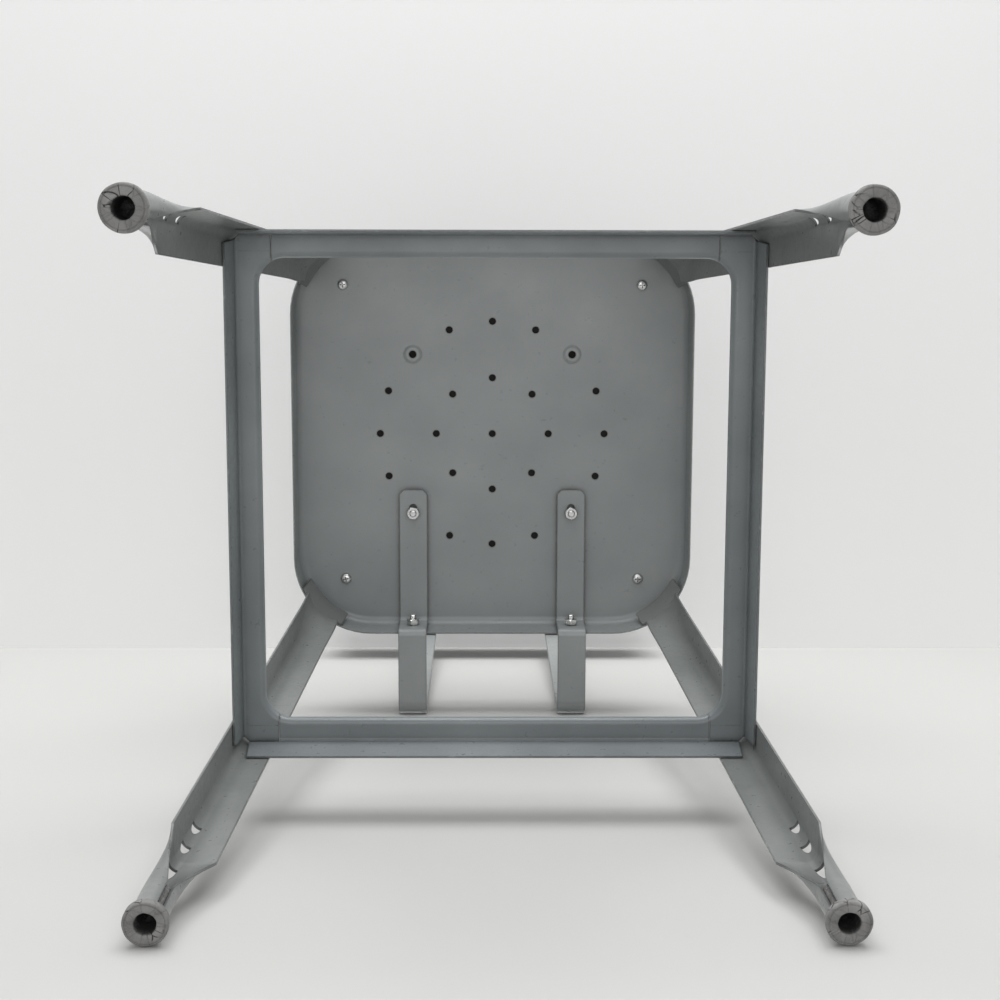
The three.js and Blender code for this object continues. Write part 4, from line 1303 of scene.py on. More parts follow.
@dataclass
class Legs:
    """Four legs of bent sheet: an open trough, wrapped into a split tube round the foot.

    Args:
        sheet: thickness.
        corner_at_floor: outer faces of the trough from the axis, carried down to the floor.
        corner_at_seat: the same at the pan.
        bend_radius: middle of the sheet.
        half_width: flat width of one arm.
        neck_radius: bend just below the pan.
        neck_half: half width there.
        neck_length: how far the neck reaches down from the rim.
        notch_half: half width left between the two notches.
        notch_height: depth of a notch.
        tab_half: half width of the tab inside the rim.
        tab_lean: how far the tab's top leans in, along the diagonal.
        tube: outside diameter of the split tube.
        seam: width of its open seam.
        tube_top: level up to which it is a plain tube.
        wrap_top: level from which the arms are flat.
        wrap_corner: power of the wrap's curve; higher is sharper where the arms end.
        louvre: width and height of a half-moon louvre.
        louvre_reach: how far its tool goes to each side of the bend's crown.
        louvre_lowest: level of the lowest one.
        louvre_spacing: between them.
        louvre_count: on each leg.
        facets: points across the sheet.
        notch_over: how far a notch reaches above the rim's lower edge.
        tab_below: top of the pan to the top of the tab.
        tab_round: radius of the tab's two corners.
        wrap_end: length at the top of the wrap whose rows are closer together.
        plain_from: level from which the trough is plain.
    """

    sheet: float = 1.5
    corner_at_floor: float = 194.8
    corner_at_seat: float = 159.0
    bend_radius: float = 7.0
    half_width: float = 23.5
    neck_radius: float = 28.0
    neck_half: float = 19.5
    neck_length: float = 95.0
    notch_half: float = 15.5
    notch_height: float = 8.0
    tab_half: float = 24.0
    tab_lean: float = 5.5
    tube: float = 20.0
    seam: float = 4.5
    tube_top: float = 40.0
    wrap_top: float = 92.0
    wrap_corner: float = 1.25
    louvre: Place = (7.0, 11.0)
    louvre_reach: float = 8.0
    louvre_lowest: float = 78.0
    louvre_spacing: float = 29.0
    louvre_count: int = 3
    facets: int = 48
    notch_over: float = 0.8
    tab_below: float = 8.0
    tab_round: float = 4.0
    wrap_end: float = 4.0
    plain_from: float = 180.0

    def splay(self, pan: SeatPan) -> float:
        """How far the trough leans in for each millimetre up."""
        return (self.corner_at_floor - self.corner_at_seat) / pan.underside

    def corner(self, level: float, pan: SeatPan) -> float:
        """Outer faces of the trough from the axis at a level."""
        return self.corner_at_floor - self.splay(pan) * level

    def section(self, level: float, pan: SeatPan) -> Trough:
        """The open section at a level, before it wraps round the foot."""
        crown = self.corner(level, pan) - self.sheet / 2 - self.bend_radius * (1 - math.sqrt(0.5))
        seat_radius = pan.corner_radius - pan.sheet - 0.3 - self.sheet / 2
        rim = DATUM.rim_bottom
        lean = self.tab_lean * math.sqrt(0.5) * max(0.0, (level - rim) / (self.tab_top - rim))
        seat_crown = DATUM.rim_face - pan.corner_radius + seat_radius * math.sqrt(0.5) - lean
        neck = smooth(rim - self.neck_length, rim - self.notch_height, level)
        seated = smooth(rim - self.notch_height, rim - 0.3, level)
        radius = mix(mix(self.bend_radius, self.neck_radius, neck), seat_radius, seated)
        half = mix(self.half_width, self.neck_half, neck)
        return Trough(mix(crown, seat_crown, neck), radius, half)

    def half_at(self, level: float, plain: float) -> float:
        """Half width at a level, with the round notches and the tab above the rim's edge."""
        rim = DATUM.rim_bottom
        low = rim - self.notch_height
        if level < low:
            return plain
        if level < rim + self.notch_over:
            t = (level - low) / (rim + self.notch_over - low) * 2 - 1
            return mix(plain, self.notch_half, math.sqrt(max(0.0, 1 - t * t)) ** 0.8)
        shoulder = max(0.0, (level - (self.tab_top - self.tab_round)) / self.tab_round)
        return self.tab_half - self.tab_round * (1 - math.sqrt(max(0.0, 1 - shoulder * shoulder)))

    @property
    def tab_top(self) -> float:
        """Top of the tab, just under the pan's fold."""
        return DATUM.pan_top - self.tab_below

    def levels(self) -> list[float]:
        """Levels of the rows, closer together where the shape changes."""
        rim = DATUM.rim_bottom
        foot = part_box("leg_rear_right")[0].z / MM
        rows = [foot, *spread(foot + 3, self.tube_top, 5)]
        start = self.tube_top
        stops_and_counts = (
            (self.wrap_top - self.wrap_end, 20),
            (self.wrap_top, 6),
            (self.plain_from, 14),
            (rim - self.neck_length, 16),
            (rim - self.notch_height, 14),
            (rim + self.notch_over, 15),
        )
        for stop, count in stops_and_counts:
            rows += spread(start, stop, count)[1:]
            start = stop
        shoulder = self.tab_top - self.tab_round
        rows += spread(rim + 1.0, shoulder, 6)
        rows += spread(shoulder, self.tab_top, 6)[1:]
        return rows

    def row(self, level: float, pan: SeatPan) -> Row:
        """The middle of the sheet at one level."""
        trough = self.section(level, pan)
        half = self.half_at(level, trough.half)
        share = min(1.0, max(0.0, (level - self.tube_top) / (self.wrap_top - self.tube_top)))
        wrap = 1.0 - share**self.wrap_corner
        radius = (self.tube - self.sheet) / 2
        reach = math.pi - self.seam / (2 * radius)
        points: Row = []
        for i in range(self.facets + 1):
            share = 2 * i / self.facets - 1
            flat, _ = trough.at(share * half)
            angle = math.pi / 4 + share * reach
            round_point = Vector((math.cos(angle), math.sin(angle), 0.0)) * radius
            round_point += Vector((DATUM.foot_centre, DATUM.foot_centre, 0.0))
            point = flat.lerp(round_point, wrap)
            point.z = level
            points.append(point)
        return points

    def louvre_tool(self, level: float, pan: SeatPan) -> Blank:
        """A half-moon bar along the leg's diagonal."""
        crown = self.section(level, pan).crown
        width, height = self.louvre
        arc = [math.pi * (1 + i / 14) for i in range(15)]
        moon = [(width / 2 * math.cos(a), height * (math.sin(a) + 0.5)) for a in arc]
        inward = Vector((math.sqrt(0.5), math.sqrt(0.5), 0.0))
        across = Vector((-math.sqrt(0.5), math.sqrt(0.5), 0.0))
        centre = Vector((crown, crown, level))
        rows = [
            [centre + inward * depth + across * x + Vector((0.0, 0.0, z)) for x, z in moon]
            for depth in (-self.louvre_reach, self.louvre_reach)
        ]
        return tube("tool", rows)

    def build(self, pan: SeatPan) -> None:
        """Makes one leg and turns it to the four corners."""
        leg = Blank("leg_rear_right_sheet").patch([self.row(level, pan) for level in self.levels()])
        leg.weld().thicken(self.sheet)
        for i in range(self.louvre_count):
            leg.cut(self.louvre_tool(self.louvre_lowest + i * self.louvre_spacing, pan))
        leg.ease(0.3).finish_faces()
        # The legs take the paint darkened as painted shade.
        for turns, corner in enumerate(("rear_left", "front_left", "front_right"), start=1):
            other = leg.turned(f"leg_{corner}_sheet", 90.0 * turns)
            hand_over(other, Slot.PAINT, f"leg_{corner}", finish=ShadedPaint.LEGS)
        hand_over(leg, Slot.PAINT, "leg_rear_right", finish=ShadedPaint.LEGS)


@dataclass
class Feet:
    """Turned rubber plugs pressed into the leg tubes.

    Args:
        diameter: of the flange that stands on the floor.
        height: of the flange.
        bore: diameter of the hole in the ground face.
        bore_depth: depth of the hole.
        stem: radius of the plug inside the tube.
        stem_length: above the flange.
        rib: how far the two ribs stand out.
        rib_shares: where they are along the stem.
    """

    diameter: float = 26.0
    height: float = 8.0
    bore: float = 12.5
    bore_depth: float = 26.0
    stem: float = 7.7
    stem_length: float = 34.0
    rib: float = 0.5
    rib_shares: tuple[float, ...] = (0.25, 0.8)

    def profile(self) -> list[Place]:
        """(radius, height) pairs from the bottom of the bore, round the outside, to the stem's end."""
        out, bore, top = self.diameter / 2, self.bore / 2, self.height
        points = [(0.4, self.bore_depth), (bore - 0.8, self.bore_depth), (bore, self.bore_depth - 0.8)]
        points += [(bore, z) for z in (18.0, 11.0, 5.0, 2.0)]
        points += [(bore + 0.15, 0.7), (bore + 0.5, 0.2), (bore + 1.1, 0.0)]
        points += [(mix(bore + 1.1, out - 2.1, s), 0.0) for s in (0.3, 0.6, 1.0)]
        points += [(out - 1.9, 0.25), (out - 1.55, 0.25), (out - 1.35, 0.0), (out - 1.0, 0.05)]
        points += [(out - 0.4, 0.4), (out - 0.08, 1.1), (out, 2.0), (out, top - 3.2)]
        points += [(out - 0.25, top - 2.6), (out - 1.5, top - 0.5), (out - 2.2, top), (self.stem, top)]
        for share in self.rib_shares:
            level = top + share * self.stem_length
            points += [(self.stem, level - 1.1), (self.stem + self.rib, level - 0.5)]
            points += [(self.stem + self.rib, level + 0.5), (self.stem, level + 1.1)]
        end = top + self.stem_length
        return points + [(self.stem - 0.2, end - 1.0), (self.stem - 1.0, end), (0.4, end)]

    def unwrap(self, blank: Blank, centre: Place) -> None:
        """Gives the foot a UV map: round it along U, and outwards then up along V."""
        layer = blank.mesh.uv_layers.new(name="turned")
        shift = Vector((centre[0], centre[1] + DATUM.axis_y, 0.0)) * MM
        for face in blank.mesh.polygons:
            middle = face.center - shift
            base = math.atan2(middle.y, middle.x)
            for loop in face.loop_indices:
                p = blank.mesh.vertices[blank.mesh.loops[loop].vertex_index].co - shift
                a = math.atan2(p.y, p.x)
                a += 2 * math.pi * round((base - a) / (2 * math.pi))
                out = Vector((p.x, p.y)).length
                layer.data[loop].uv = (a / (2 * math.pi), (out + p.z) / (self.diameter * MM))

    def build(self) -> None:
        """Makes the four feet, each with its own unevenness."""
        luck = random.Random(11)
        for x_side, x_name in ((-1, "left"), (1, "right")):
            for y_side, y_name in ((-1, "front"), (1, "rear")):
                waves = [
                    (luck.randint(2, 9), luck.uniform(0, FULL_TURN), luck.uniform(0.02, 0.07))
                    for _ in range(5)
                ]

                def ripple(angle: float, height: float) -> float:
                    """Unevenness of worn rubber, kept inside the plain foot."""
                    total = sum(depth * math.sin(n * angle + start) for n, start, depth in waves)
                    share = 1.0 if height < self.height else 0.2
                    return share * (total - sum(depth for _, _, depth in waves))

                centre = (x_side * DATUM.foot_centre, y_side * DATUM.foot_centre)
                name = f"foot_{y_name}_{x_name}"
                foot = lathe(f"{name}_rubber", self.profile(), 72, Axis.UP, (*centre, 0.0), ripple)
                self.unwrap(foot, centre)
                foot.finish_faces(50.0, weighted=False)
                hand_over(foot, Slot.RUBBER, name)


# --- footrest ring


@dataclass
class FootrestRing:
    """Four bars with a level web, a hanging flange and a lip round the opening.

    Args:
        sheet: thickness.
        web: width of the level web.
        flange: how far the flange hangs below the top.
        lip: how far the lip stands above the top.
        bend: radius of the web's bend into the flange, outside.
        lip_bend: radius of the web's bend into the lip, middle of the sheet.
        corner: radius of the opening's corners, inside.
        joint_inset: face of a side bar to its joint with the end bars.
        gap: left where pieces meet.
    """

    sheet: float = 1.5
    web: float = 17.0
    flange: float = 32.0
    lip: float = 5.0
    bend: float = 3.5
    lip_bend: float = 3.0
    corner: float = 18.0
    joint_inset: float = 26.0
    gap: float = 0.3

    def set_out(self, legs: Legs, pan: SeatPan) -> None:
        """Works out the places that depend on the legs."""
        self.top = DATUM.ring_lip_top - self.lip
        self.lean = legs.splay(pan) * self.flange
        self.face = legs.corner(self.top, pan) - legs.sheet - self.gap
        self.opening = self.face - self.web
        self.joint = self.face - self.joint_inset
        self.short = self.face + self.gap - (legs.bend_radius - legs.sheet / 2)

    def outer_columns(self, y: float) -> Row:
        """Points from the web's outer flat, round the bend, to the top of the flange."""
        middle, level = self.face - self.sheet / 2, self.top - self.sheet / 2
        bend = self.bend - self.sheet / 2
        points = [Vector((middle - bend - 1.0, y, level))]
        for a in spread(math.pi / 2, 0.0, 8):
            x = middle - bend + bend * math.cos(a)
            points.append(Vector((x, y, level - bend + bend * math.sin(a))))
        return points

    def flange_columns(self, y: float) -> Row:
        """Points down the flange from the bend."""
        start = self.outer_columns(y)[-1]
        foot = Vector((start.x + self.lean, y, self.top - self.flange))
        return [start.lerp(foot, share) for share in (0.0, 0.05, 0.35, 0.65, 0.95, 1.0)]

    def lip_columns(self, angle: float, centre: Vector) -> Row:
        """Points down the lip and round its bend to the web, at an angle about a corner's centre."""
        way = Vector((math.cos(angle), math.sin(angle), 0.0))
        level, lip = self.top - self.sheet / 2, self.lip_bend
        radius = self.corner + self.sheet / 2
        pairs = [(0.0, self.top + self.lip), (0.0, self.top + 0.5 * self.lip), (0.0, level + lip)]
        for a in spread(0.0, math.pi / 2, 6)[1:]:
            pairs.append((lip - lip * math.cos(a), level + lip - lip * math.sin(a)))
        pairs.append((lip + 0.8, level))
        return [centre + way * (radius + out) + Vector((0.0, 0.0, z)) for out, z in pairs]

    def rows(self, with_end: bool) -> tuple[list[Row], list[Row]]:
        """Rows across a bar on the +X side, from its middle to its +Y end.

        Args:
            with_end: whether the bar goes on past the opening's corner.

        Returns:
            Rows that start at the lip, and rows past the opening.
        """
        straight = self.opening - self.corner
        main: list[Row] = []
        stations = [(0.0, y) for y in spread(0.0, straight, 14)]
        stations += [(a, straight) for a in spread(0.0, math.pi / 2, 13)[1:]]
        for angle, y in stations:
            inner = self.lip_columns(angle, Vector((straight, y, 0.0)))
            outer = self.outer_columns(inner[-1].y)
            web = [inner[-1].lerp(outer[0], s) for s in (0.33, 0.67)]
            main.append([*inner, *web, *outer])
        past: list[Row] = []
        if with_end:
            for y in spread(main[-1][-1].y, self.face, 5):
                outer = self.outer_columns(y)
                inner = Vector((straight, y, outer[0].z))
                past.append([inner.lerp(outer[0], s) for s in (0.0, 0.5)] + outer)
        return main, past

    def mirror(self, rows: Sequence[Row]) -> list[Row]:
        """The same rows on the -Y side."""
        return [[Vector((p.x, -p.y, p.z)) for p in row] for row in rows]

    def side_bar(self, name: str) -> Blank:
        """The bar on the +X side, which covers the corners."""
        main, past = self.rows(with_end=True)
        bar = Blank(name)
        for rows in (main, past):
            bar.patch(rows).patch(self.mirror(rows))
        flange = [self.flange_columns(row[-1].y) for row in [*main, *past[1:]]]
        bar.patch(flange).patch(self.mirror(flange))
        cut = self.joint + self.gap / 2
        return bar.weld().slice((cut, 0.0), (-1.0, 0.0))

    def end_bar(self, name: str) -> Blank:
        """A bar on the +X side that fits between the joints, to be turned to the front or the rear."""
        main, _ = self.rows(with_end=False)
        cut = self.joint - self.gap / 2
        bar = Blank(name).patch(main).patch(self.mirror(main)).weld()
        bar.slice((0.0, cut), (0.0, 1.0)).slice((0.0, -cut), (0.0, -1.0))
        stations = [row[-1].y for row in main if row[-1].y < cut - 0.01]
        stations += [cut, self.face - self.sheet - self.gap]
        flange = [self.flange_columns(y) for y in stations]
        return bar.patch(flange).patch(self.mirror(flange)).weld()

    def close(self, bar: Blank) -> Blank:
        """Cuts off the corners, so that the ring nests in the legs' bends, and gives the sheet its wall."""
        bar.slice((self.face, self.short), (1.0, 1.0)).slice((self.face, -self.short), (1.0, -1.0))
        return bar.weld().thicken(self.sheet).ease(0.25).finish_faces()

    def build(self, legs: Legs, pan: SeatPan) -> None:
        """Makes the four bars."""
        self.set_out(legs, pan)
        side = self.close(self.side_bar("ring_right"))
        # The ring takes the paint darkened as painted shade.
        hand_over(side.turned("ring_left", 180.0), Slot.PAINT, "footrest_left", finish=ShadedPaint.RING)
        hand_over(side, Slot.PAINT, "footrest_right", finish=ShadedPaint.RING)
        end = self.close(self.end_bar("ring_plain"))
        hand_over(end.turned("ring_rear", 90.0), Slot.PAINT, "footrest_rear", finish=ShadedPaint.RING)
        hand_over(end.turned("ring_front", -90.0), Slot.PAINT, "footrest_front", finish=ShadedPaint.RING)
        end.scrap()


# --- back


@dataclass
class BackSupports:
    """Two flat bars from under the pan, down the rim, rearwards and up to the rail.

    Args:
        width: of the bar.
        thickness: of the bar.
        edge: rounding of the bar's long edges.
        overhang: forward bolt to the front end.
        corner_cut: taken off the two front corners.
        bends: radii of the three bends, middle of the bar.
        below_rim: rim's lower edge to the top of the rearward run.
        slot_length: of the hole for the forward bolt.
        slot_shift: how far the slot's middle is ahead of the bolt.
        gap: left between the bar and the pan.
    """

    width: float = 25.0
    thickness: float = 4.0
    edge: float = 0.7
    overhang: float = 20.5
    corner_cut: float = 4.0
    bends: tuple[float, float, float] = (6.0, 4.5, 13.0)
    below_rim: float = 2.0
    slot_length: float = 11.0
    slot_shift: float = 2.3
    gap: float = 0.3

    def set_out(self, pan: SeatPan) -> None:
        """Works out the levels and places of the bar's middle line."""
        self.place = pan.boss_place
        self.hole = pan.bolt_hole
        self.flat = pan.underside - pan.boss_height - self.gap - self.thickness / 2
        self.drop = DATUM.rim_face - pan.sheet - self.gap - self.thickness / 2
        self.run = DATUM.rim_bottom - self.below_rim - self.thickness / 2
        self.upright = DATUM.upright_rear - self.thickness / 2
        self.bolt_level = (self.flat - self.bends[0] + self.run + self.bends[1]) / 2

    def bend(self, before: Place, corner: Place, after: Place, radius: float) -> list[Place]:
        """Points of the arc that rounds a corner of the route."""
        at = Vector(corner)
        into, out = (Vector(before) - at).normalized(), (Vector(after) - at).normalized()
        half = into.angle(out) / 2
        start = at + into * (radius / math.tan(half))
        end = at + out * (radius / math.tan(half))
        centre = at + (into + out).normalized() * (radius / math.sin(half))
        from_centre, to_centre = start - centre, end - centre
        angle = from_centre.angle_signed(to_centre)
        return [
            tuple(centre + Matrix.Rotation(-angle * share, 2) @ from_centre)
            for share in spread(0.0, 1.0, 15)
        ]

    def route(self) -> list[Place]:
        """Middle line of the bar as (y, z) pairs, from its front end to its top."""
        front = self.place - self.overhang
        cut = self.corner_cut
        corners = [
            (front, self.flat),
            (self.drop, self.flat),
            (self.drop, self.run),
            (self.upright, self.run),
            (self.upright, DATUM.upright_top),
        ]
        line = [(front + s, self.flat) for s in (0.0, 0.25, 0.7, cut - 0.7, cut - 0.2, cut, cut + 0.6)]
        line += [(y, self.flat) for y in spread(front + 8, self.drop - 12, 8)]
        for i, radius in enumerate(self.bends):
            line += self.bend(corners[i], corners[i + 1], corners[i + 2], radius)
        line += [(self.upright, z) for z in spread(self.run + 30, DATUM.upright_top - 2, 14)]
        return line + [(self.upright, DATUM.upright_top - 0.6), (self.upright, DATUM.upright_top)]

    def half_width(self, from_front: float, from_top: float) -> float:
        """Half width of the bar, less its clipped front corners and eased top corners."""
        half = self.width / 2
        if from_front < self.corner_cut:
            half -= self.corner_cut - from_front
        if from_top < 1.0:
            half -= 1.0 - from_top
        return half

    def ring(self, before: Place, point: Place, after: Place, half: float) -> Row:
        """The bar's section at a point of its route."""
        along = (Vector(after) - Vector(before)).normalized()
        normal = Vector((-along.y, along.x))
        thick, edge = self.thickness / 2, self.edge
        corners = [(half, thick, 0.0), (-half, thick, 1.0), (-half, -thick, 2.0), (half, -thick, 3.0)]
        ring: Row = []
        for x, t, quarter in corners:
            for share in (0.0, 0.33, 0.67, 1.0):
                a = (quarter + share) * math.pi / 2
                px = x - math.copysign(edge, x) + edge * math.cos(a)
                pt = t - math.copysign(edge, t) + edge * math.sin(a)
                ring.append(Vector((px, point[0] + normal.x * pt, point[1] + normal.y * pt)))
        return ring

    def slot_tool(self, x: float) -> Blank:
        """A tool for the slotted hole."""
        radius = self.hole / 2
        reach = self.slot_length / 2 - radius
        middle = self.place - self.slot_shift
        arc = spread(0.0, math.pi, 13)
        outline = [(x + radius * math.cos(a), middle + reach + radius * math.sin(a)) for a in arc]
        outline += [(x - radius * math.cos(a), middle - reach - radius * math.sin(a)) for a in arc]
        return prism("tool", outline, self.flat - self.thickness, self.flat + self.thickness)

    def build(self, pan: SeatPan) -> None:
        """Makes the two bars."""
        self.set_out(pan)
        route = self.route()
        for x, side in ((-self.place, "left"), (self.place, "right")):
            rows = []
            for i, point in enumerate(route):
                before, after = route[max(0, i - 1)], route[min(len(route) - 1, i + 1)]
                half = self.half_width(point[0] - route[0][0], DATUM.upright_top - point[1])
                rows.append([p + Vector((x, 0.0, 0.0)) for p in self.ring(before, point, after, half)])
            bar = tube(f"support_{side}", rows).cut(self.slot_tool(x))
            at = (x, self.drop, self.bolt_level)
            bar.cut(drill(self.hole, -self.thickness, self.thickness, 28, Axis.REAR, at))
            bar.ease(0.3, 2, 60.0).finish_faces(32.0)
            hand_over(bar, Slot.PAINT, f"back_support_{side}")


def rail_tree() -> GeometryTree:
    """Draws a section along a route: the input geometry is the route's edges.

    Returns:
        The tree, with the section as an object of edges and the section's size.
    """
    tree = GeometryTree("rail", {"Section": bpy.types.Object, "Size": float})
    source = {"Object": tree.given["Section"]}
    section = tree.add("GeometryNodeObjectInfo", source, transform_space="ORIGINAL")
    outline = tree.add("GeometryNodeMeshToCurve", {0: section.outputs["Geometry"]})
    size = tree.add("ShaderNodeCombineXYZ", {axis: tree.given["Size"] for axis in "XYZ"}).outputs[0]
    sized = tree.add("GeometryNodeTransform", {"Geometry": outline.outputs[0], "Scale": size})
    route = tree.add("GeometryNodeMeshToCurve", {0: tree.given["Geometry"]})
    level = tree.add("GeometryNodeSetCurveNormal", {"Curve": route.outputs[0]}, mode="Z_UP")
    swept = tree.add(
        "GeometryNodeCurveToMesh",
        {"Curve": level.outputs[0], "Profile Curve": sized.outputs[0], "Fill Caps": True},
    )
    tree.close(swept.outputs[0])
    return tree


@dataclass
class BackRail:
    """A curved sheet rail with a rolled bead along both edges and four pressed bosses.

    Args:
        height: over both beads.
        sheet: thickness.
        bead: diameter of the rolled edges.
        flat_half: half length of the straight middle.
        wing_radius: of the forward sweep.
        wing_angle: of the sweep, in degrees.
        boss: diameter of a boss's face.
        rivet_pitch: between the two rivets on one support.
        fillet: between the sheet and its bead.
        boss_slope: how far a boss's side runs out round its face.
    """

    height: float = 62.0
    sheet: float = 1.6
    bead: float = 7.0
    flat_half: float = 92.0
    wing_radius: float = 210.0
    wing_angle: float = 22.0
    boss: float = 15.0
    rivet_pitch: float = 28.0
    fillet: float = 1.4
    boss_slope: float = 2.4

    def set_out(self, supports: BackSupports) -> None:
        """Works out the rail's place from the supports."""
        self.boss_place = supports.place
        self.boss_face = DATUM.upright_rear - supports.thickness - supports.gap
        self.middle = self.boss_face - self.bead / 2
        self.centre = DATUM.rail_top - self.height / 2
        half = self.rivet_pitch / 2
        self.rivet_levels = (self.centre - half, self.centre + half)

    def route(self) -> Row:
        """The middle line seen from above, at the rail's middle level, from -X to +X."""
        wing = []
        for a in spread(0.0, math.radians(self.wing_angle), 26):
            x = self.flat_half + self.wing_radius * math.sin(a)
            y = self.middle - self.wing_radius * (1 - math.cos(a))
            wing.append(Vector((x, y, self.centre)))
        straight = spread(-self.flat_half, self.flat_half, 20)[1:-1]
        flat = [Vector((x, self.middle, self.centre)) for x in straight]
        left = [Vector((-p.x, p.y, p.z)) for p in reversed(wing)]
        return [*left, *flat, *wing]

    def outline(self) -> list[Place]:
        """The section: (offset from the middle line, height above the rail's middle)."""
        sheet, bead = self.sheet / 2, self.bead / 2
        centre = self.height / 2 - bead
        start = math.asin(sheet / bead)
        upper = []
        for a in spread(-math.pi / 2 + start, 1.5 * math.pi - start, 22):
            upper.append((bead * math.cos(a), centre + bead * math.sin(a)))
        fillet, root = self.fillet, centre - bead * math.cos(start)
        right = [(sheet + fillet * s * s, root - fillet * (1 - s)) for s in (0.0, 0.5)]
        left = [(-x, z) for x, z in reversed(right)]
        whole = [*right, *upper[1:-1], *left]
        return [*whole, *[(-x, -z) for x, z in whole]]

    def boss_blank(self, x: float, level: float) -> Blank:
        """One boss, pressed back from the rail's sheet onto the support."""
        face = self.boss_face - (self.middle + self.sheet / 2)
        profile = [(self.boss / 2 + 2.6, -self.sheet / 2)]
        for share in spread(0.0, 1.0, 7):
            radius = self.boss / 2 + self.boss_slope * (1 - share)
            profile.append((radius, face * smooth(0.0, 1.0, share)))
        return lathe("boss", profile, 40, Axis.REAR, (x, self.middle + self.sheet / 2, level))

    def build(self, supports: BackSupports) -> None:
        """Makes the rail."""
        self.set_out(supports)
        section = Blank("section")
        shift = Vector((0.0, DATUM.axis_y, 0.0))
        section.wire([Vector((x, z, 0.0)) - shift for x, z in self.outline()])
        rail = Blank("rail")
        rail.wire(self.route(), closed=False)
        values = {"Section": section.obj, "Size": 1.0}
        rail_tree().run(rail, values, FinishShelf.get(Slot.PAINT))
        section.scrap()
        rail.weld()
        for x in (-self.boss_place, self.boss_place):
            for level in self.rivet_levels:
                rail.cut(self.boss_blank(x, level), "UNION")
        rail.ease(0.3, 2, 60.0).finish_faces(40.0)
        hand_over(rail, Slot.PAINT, "back_rail")


# --- fasteners


class Recess(Enum):
    """What is cut into a fastener's head."""

    NONE = "none"
    CROSS = "cross"


@dataclass(frozen=True)
class Fastener:
    """A bolt, screw or rivet: a low round head from 0 up, its shank below.

    Args:
        head: diameter of the head.
        rise: height of the head.
        shank: diameter of the shank.
        length: of the shank.
        thread: pitch of the thread, or 0 for none.
        recess: what is cut into the head.
        tail: height of a second head at the shank's end, or 0 for none.
    """

    head: float
    rise: float
    shank: float
    length: float
    thread: float = 0.0
    recess: Recess = Recess.NONE
    tail: float = 0.0

    def profile(self) -> list[Place]:
        """(radius, height) pairs from the shank's end to the top of the head."""
        shank, head = self.shank / 2, self.head / 2
        points: list[Place] = []
        if self.tail:
            points += [(0.1, -self.length - self.tail)]
            for a in spread(0.25, 1.57, 7):
                points.append((head * math.sin(a), -self.length - self.tail * math.cos(a)))
            points += [(shank, -self.length)]
        else:
            points += [(0.1, -self.length), (shank - 0.7, -self.length)]
            points += [(shank - 0.15, -self.length + 0.6)]
        if self.thread:
            level = -self.length + 0.8
            while level < -self.thread:
                points += [(shank, level), (shank - 0.45 * self.thread, level + self.thread / 2)]
                level += self.thread
        points += [(shank, -0.2), (shank, 0.0), (head - 0.25, 0.0), (head, 0.25)]
        low = self.rise * 0.3
        for a in spread(0.0, 1.45, 8):
            points.append((head * math.cos(a) ** 0.6, low + (self.rise - low) * math.sin(a)))
        return points + [(0.1, self.rise)]

    def master(self, name: str) -> Blank:
        """The fastener standing on +Z at the frame's origin."""
        at = (0.0, -DATUM.axis_y, 0.0)
        blank = lathe(name, self.profile(), 32, Axis.UP, at)
        if self.recess is Recess.CROSS:
            for turn in (0.0, math.pi / 2):
                arm, slot, floor = self.head * 0.28, 0.55, self.rise * 0.35
                turned = Matrix.Rotation(turn, 3, "Z")
                corners = [(-arm, -slot), (arm, -slot), (arm, slot), (-arm, slot)]
                rows = []
                for share, z in ((0.75, floor), (1.1, self.rise + 1.0)):
                    level = [Vector((x * share, y * share, z)) for x, y in corners]
                    rows.append([turned @ p + Vector(at) for p in level])
                blank.cut(tube("tool", rows))
        return blank.finish_faces(35.0)


@dataclass(frozen=True)
class Nut:
    """A hexagon nut from 0 up, with chamfered corners.

    Args:
        flats: width across the flats.
        height: of the nut.
        bore: diameter of the hole.
    """

    flats: float = 10.0
    height: float = 5.0
    bore: float = 5.4

    def master(self, name: str) -> Blank:
        """The nut standing on +Z at the frame's origin."""
        at = (0.0, -DATUM.axis_y, 0.0)
        outer = self.flats / math.sqrt(3)
        rows = [[p + Vector(at) for p in circle(outer, z, 6)] for z in (0.0, self.height)]
        nut = tube(name, rows)
        crown = [
            (outer * 0.88, -0.01),
            (outer * 1.02, 0.9),
            (outer * 1.02, self.height - 0.9),
            (outer * 0.86, self.height + 0.01),
        ]
        nut.cut(lathe("tool", crown, 48, Axis.UP, at), "INTERSECT")
        bore, wide = self.bore / 2, self.bore / 2 + 0.5
        hole = [(wide, -0.1), (bore, 0.5), (bore, self.height - 0.5), (wide, self.height + 0.1)]
        nut.cut(lathe("tool", hole, 28, Axis.UP, at))
        return nut.ease(0.15, 2, 25.0).finish_faces(40.0)


